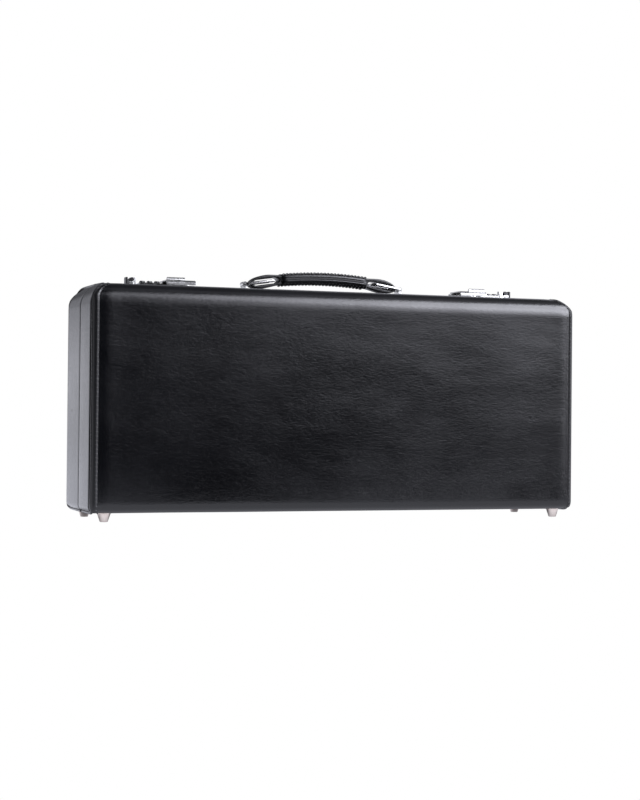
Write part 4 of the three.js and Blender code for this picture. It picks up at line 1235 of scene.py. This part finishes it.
def set_camera():
    yaw, pitch, roll = (math.radians(turn) for turn in (CAMERA_YAW, CAMERA_PITCH, CAMERA_ROLL))
    right = Vector((math.cos(yaw), math.sin(yaw), 0))
    ahead = Vector((-math.sin(yaw), math.cos(yaw), 0))
    up = Vector((0, 0, 1))
    ahead, up = turned(ahead, up, pitch)
    right, up = turned(right, up, roll)
    data = bpy.data.cameras.new("camera")
    data.sensor_width = SENSOR
    data.lens = SENSOR * FOCAL_PX / PHOTO_HIGH_PX
    data.clip_end = 100
    camera = bpy.data.objects.new("camera", data)
    bpy.context.scene.collection.objects.link(camera)
    turn = Matrix((right, up, -ahead)).transposed()
    camera.matrix_world = Matrix.Translation(CAMERA_AT * MM) @ turn.to_4x4()
    bpy.context.scene.camera = camera


# Light
def studio_level(tree):
    """How bright the studio is in each direction, in terms of angles in degrees over the case from front to
    back, around it from the front or the back, and sideways and upwards from the middle."""
    x, y, z = axes(tree, node_of(tree, "ShaderNodeTexCoord", "Generated"))
    turn = 180 / math.pi
    over = z.maths("ARCTAN2", -1 * y) * turn
    around = x.maths("ARCTAN2", -1 * y) * turn
    back = x.maths("ARCTAN2", y) * turn
    side, rise = x.maths("ARCSINE") * turn, z.maths("ARCSINE") * turn
    # A front that brightens to the right, with a bright wall at its right end, and walls at both ends
    front = around.ramp(14, 31, 0.0, 0.75) + around.ramp(-70, -35, 0.1, 0.0)
    front = front + around.ramp(40, 62) * around.ramp(95, 120, 3.0, 0.0)
    ends = x.ramp(0.85, 0.97) * 0.8 + x.ramp(-0.97, -0.85, 0.15, 0.0)
    # A lamp high in front, which is stronger and reaches higher to the right, and its glow below it
    reach = ((side - 9.7) * 0.62).clamp(0.3, 9.5) * side.ramp(34, 48, 1.0, 0.06)
    lower, upper = (side - 13.5) * 1.6, (side - 13.5) * 1.3
    lamp = (over + lower).ramp(36, 60) * (over - upper).ramp(52, 67, 1.0, 0.0) * reach
    glow = over.ramp(3.5, 9) * over.ramp(36, 60, 1.0, 0.0) * ((side - 15) * 0.7).clamp(0.0, 3.5)
    # A dim strip overhead, and walls behind on the right and on the left
    overhead = over.ramp(62, 80) * over.ramp(104, 128, 1.0, 0.0) * x.ramp(0.15, 0.5, 0.02, 0.2)
    right = ((side - 9.5) * 0.045).clamp(0.1, 0.6) * over.ramp(124, 154) * over.ramp(154, 175, 1.0, 0.7)
    left = back.ramp(-9, 1, 1.0, 0.0) * over.ramp(100, 130) * rise.ramp(0.5, 4.5, 1.3, 0.5)
    above = (front * over.ramp(10, 30, 1.0, 0.1)).maths("MAXIMUM", ends) + lamp + glow + overhead
    above = above + right.maths("MAXIMUM", left)
    # Below the horizon, dark in front and pale behind
    below = y.ramp(-0.5, 0.2, 0.02, 1.0)
    sky = z.ramp(-0.02, 0.02)
    return above * sky + below * (1 - sky)


def set_world():
    """White behind the object, and a studio for light and mirror images."""
    world = bpy.data.worlds.new("studio")
    bpy.context.scene.world = world
    world.use_nodes = True
    tree = world.node_tree
    tree.nodes.clear()
    color = node_of(tree, "ShaderNodeVectorMath", 0, {"operation": "SCALE"}, Vector=(0.965, 0.975, 1.07),
                    Scale=studio_level(tree))
    seen = node_of(tree, "ShaderNodeLightPath", "Is Camera Ray")
    light = node_of(tree, "ShaderNodeBackground", Color=color)
    white = node_of(tree, "ShaderNodeBackground", Color=(1, 1, 1, 1))
    node_of(tree, "ShaderNodeOutputWorld", Surface=mix_of(tree, seen, light, white))


def set_floor():
    """A pale floor, which mirrors see glow, but shaded under the object. The camera sees the backdrop through
    it, and the open lid, which swings lower than the feet. Its sizes are in metres."""
    left, right, front, far = -2, 2, -0.26, 3
    shade_x, shade_y = 0.270, 0.05
    mesh = bpy.data.meshes.new("floor")
    corners = [(left, front, 0), (right, front, 0), (right, far, 0), (left, far, 0)]
    mesh.from_pydata(corners, [], [(0, 1, 2, 3)])
    floor = bpy.data.objects.new("floor", mesh)
    bpy.context.scene.collection.objects.link(floor)
    material, tree, shader = new_material("floor", Base__Color=(0.6, 0.6, 0.61, 1), Roughness=0.9)
    x, y, _ = axes(tree, node_of(tree, "ShaderNodeTexCoord", "Object"))
    away = (x.maths("ABSOLUTE") - shade_x).maths("MAXIMUM", y.maths("ABSOLUTE") - shade_y)
    camera, mirror = (node_of(tree, "ShaderNodeLightPath", f"Is {ray} Ray") for ray in ("Camera", "Glossy"))
    clear = node_of(tree, "ShaderNodeBsdfTransparent")
    glow = node_of(tree, "ShaderNodeEmission", Color=(0.885, 0.90, 1, 1), Strength=1.3)
    shade = node_of(tree, "ShaderNodeEmission", Color=(0.17, 0.17, 0.19, 1))
    mirrored = mix_of(tree, away.ramp(-0.015, 0.012), shade, glow)
    seen = mix_of(tree, mirror, clear, mirrored)
    surface = mix_of(tree, camera.maths("MAXIMUM", mirror), Wire(tree, shader.outputs[0]), seen)
    tree.links.new(surface.socket, tree.nodes["Material Output"].inputs["Surface"])
    mesh.materials.append(material)


set_camera()
set_world()
set_floor()
bpy.context.scene.view_settings.view_transform = "Standard"
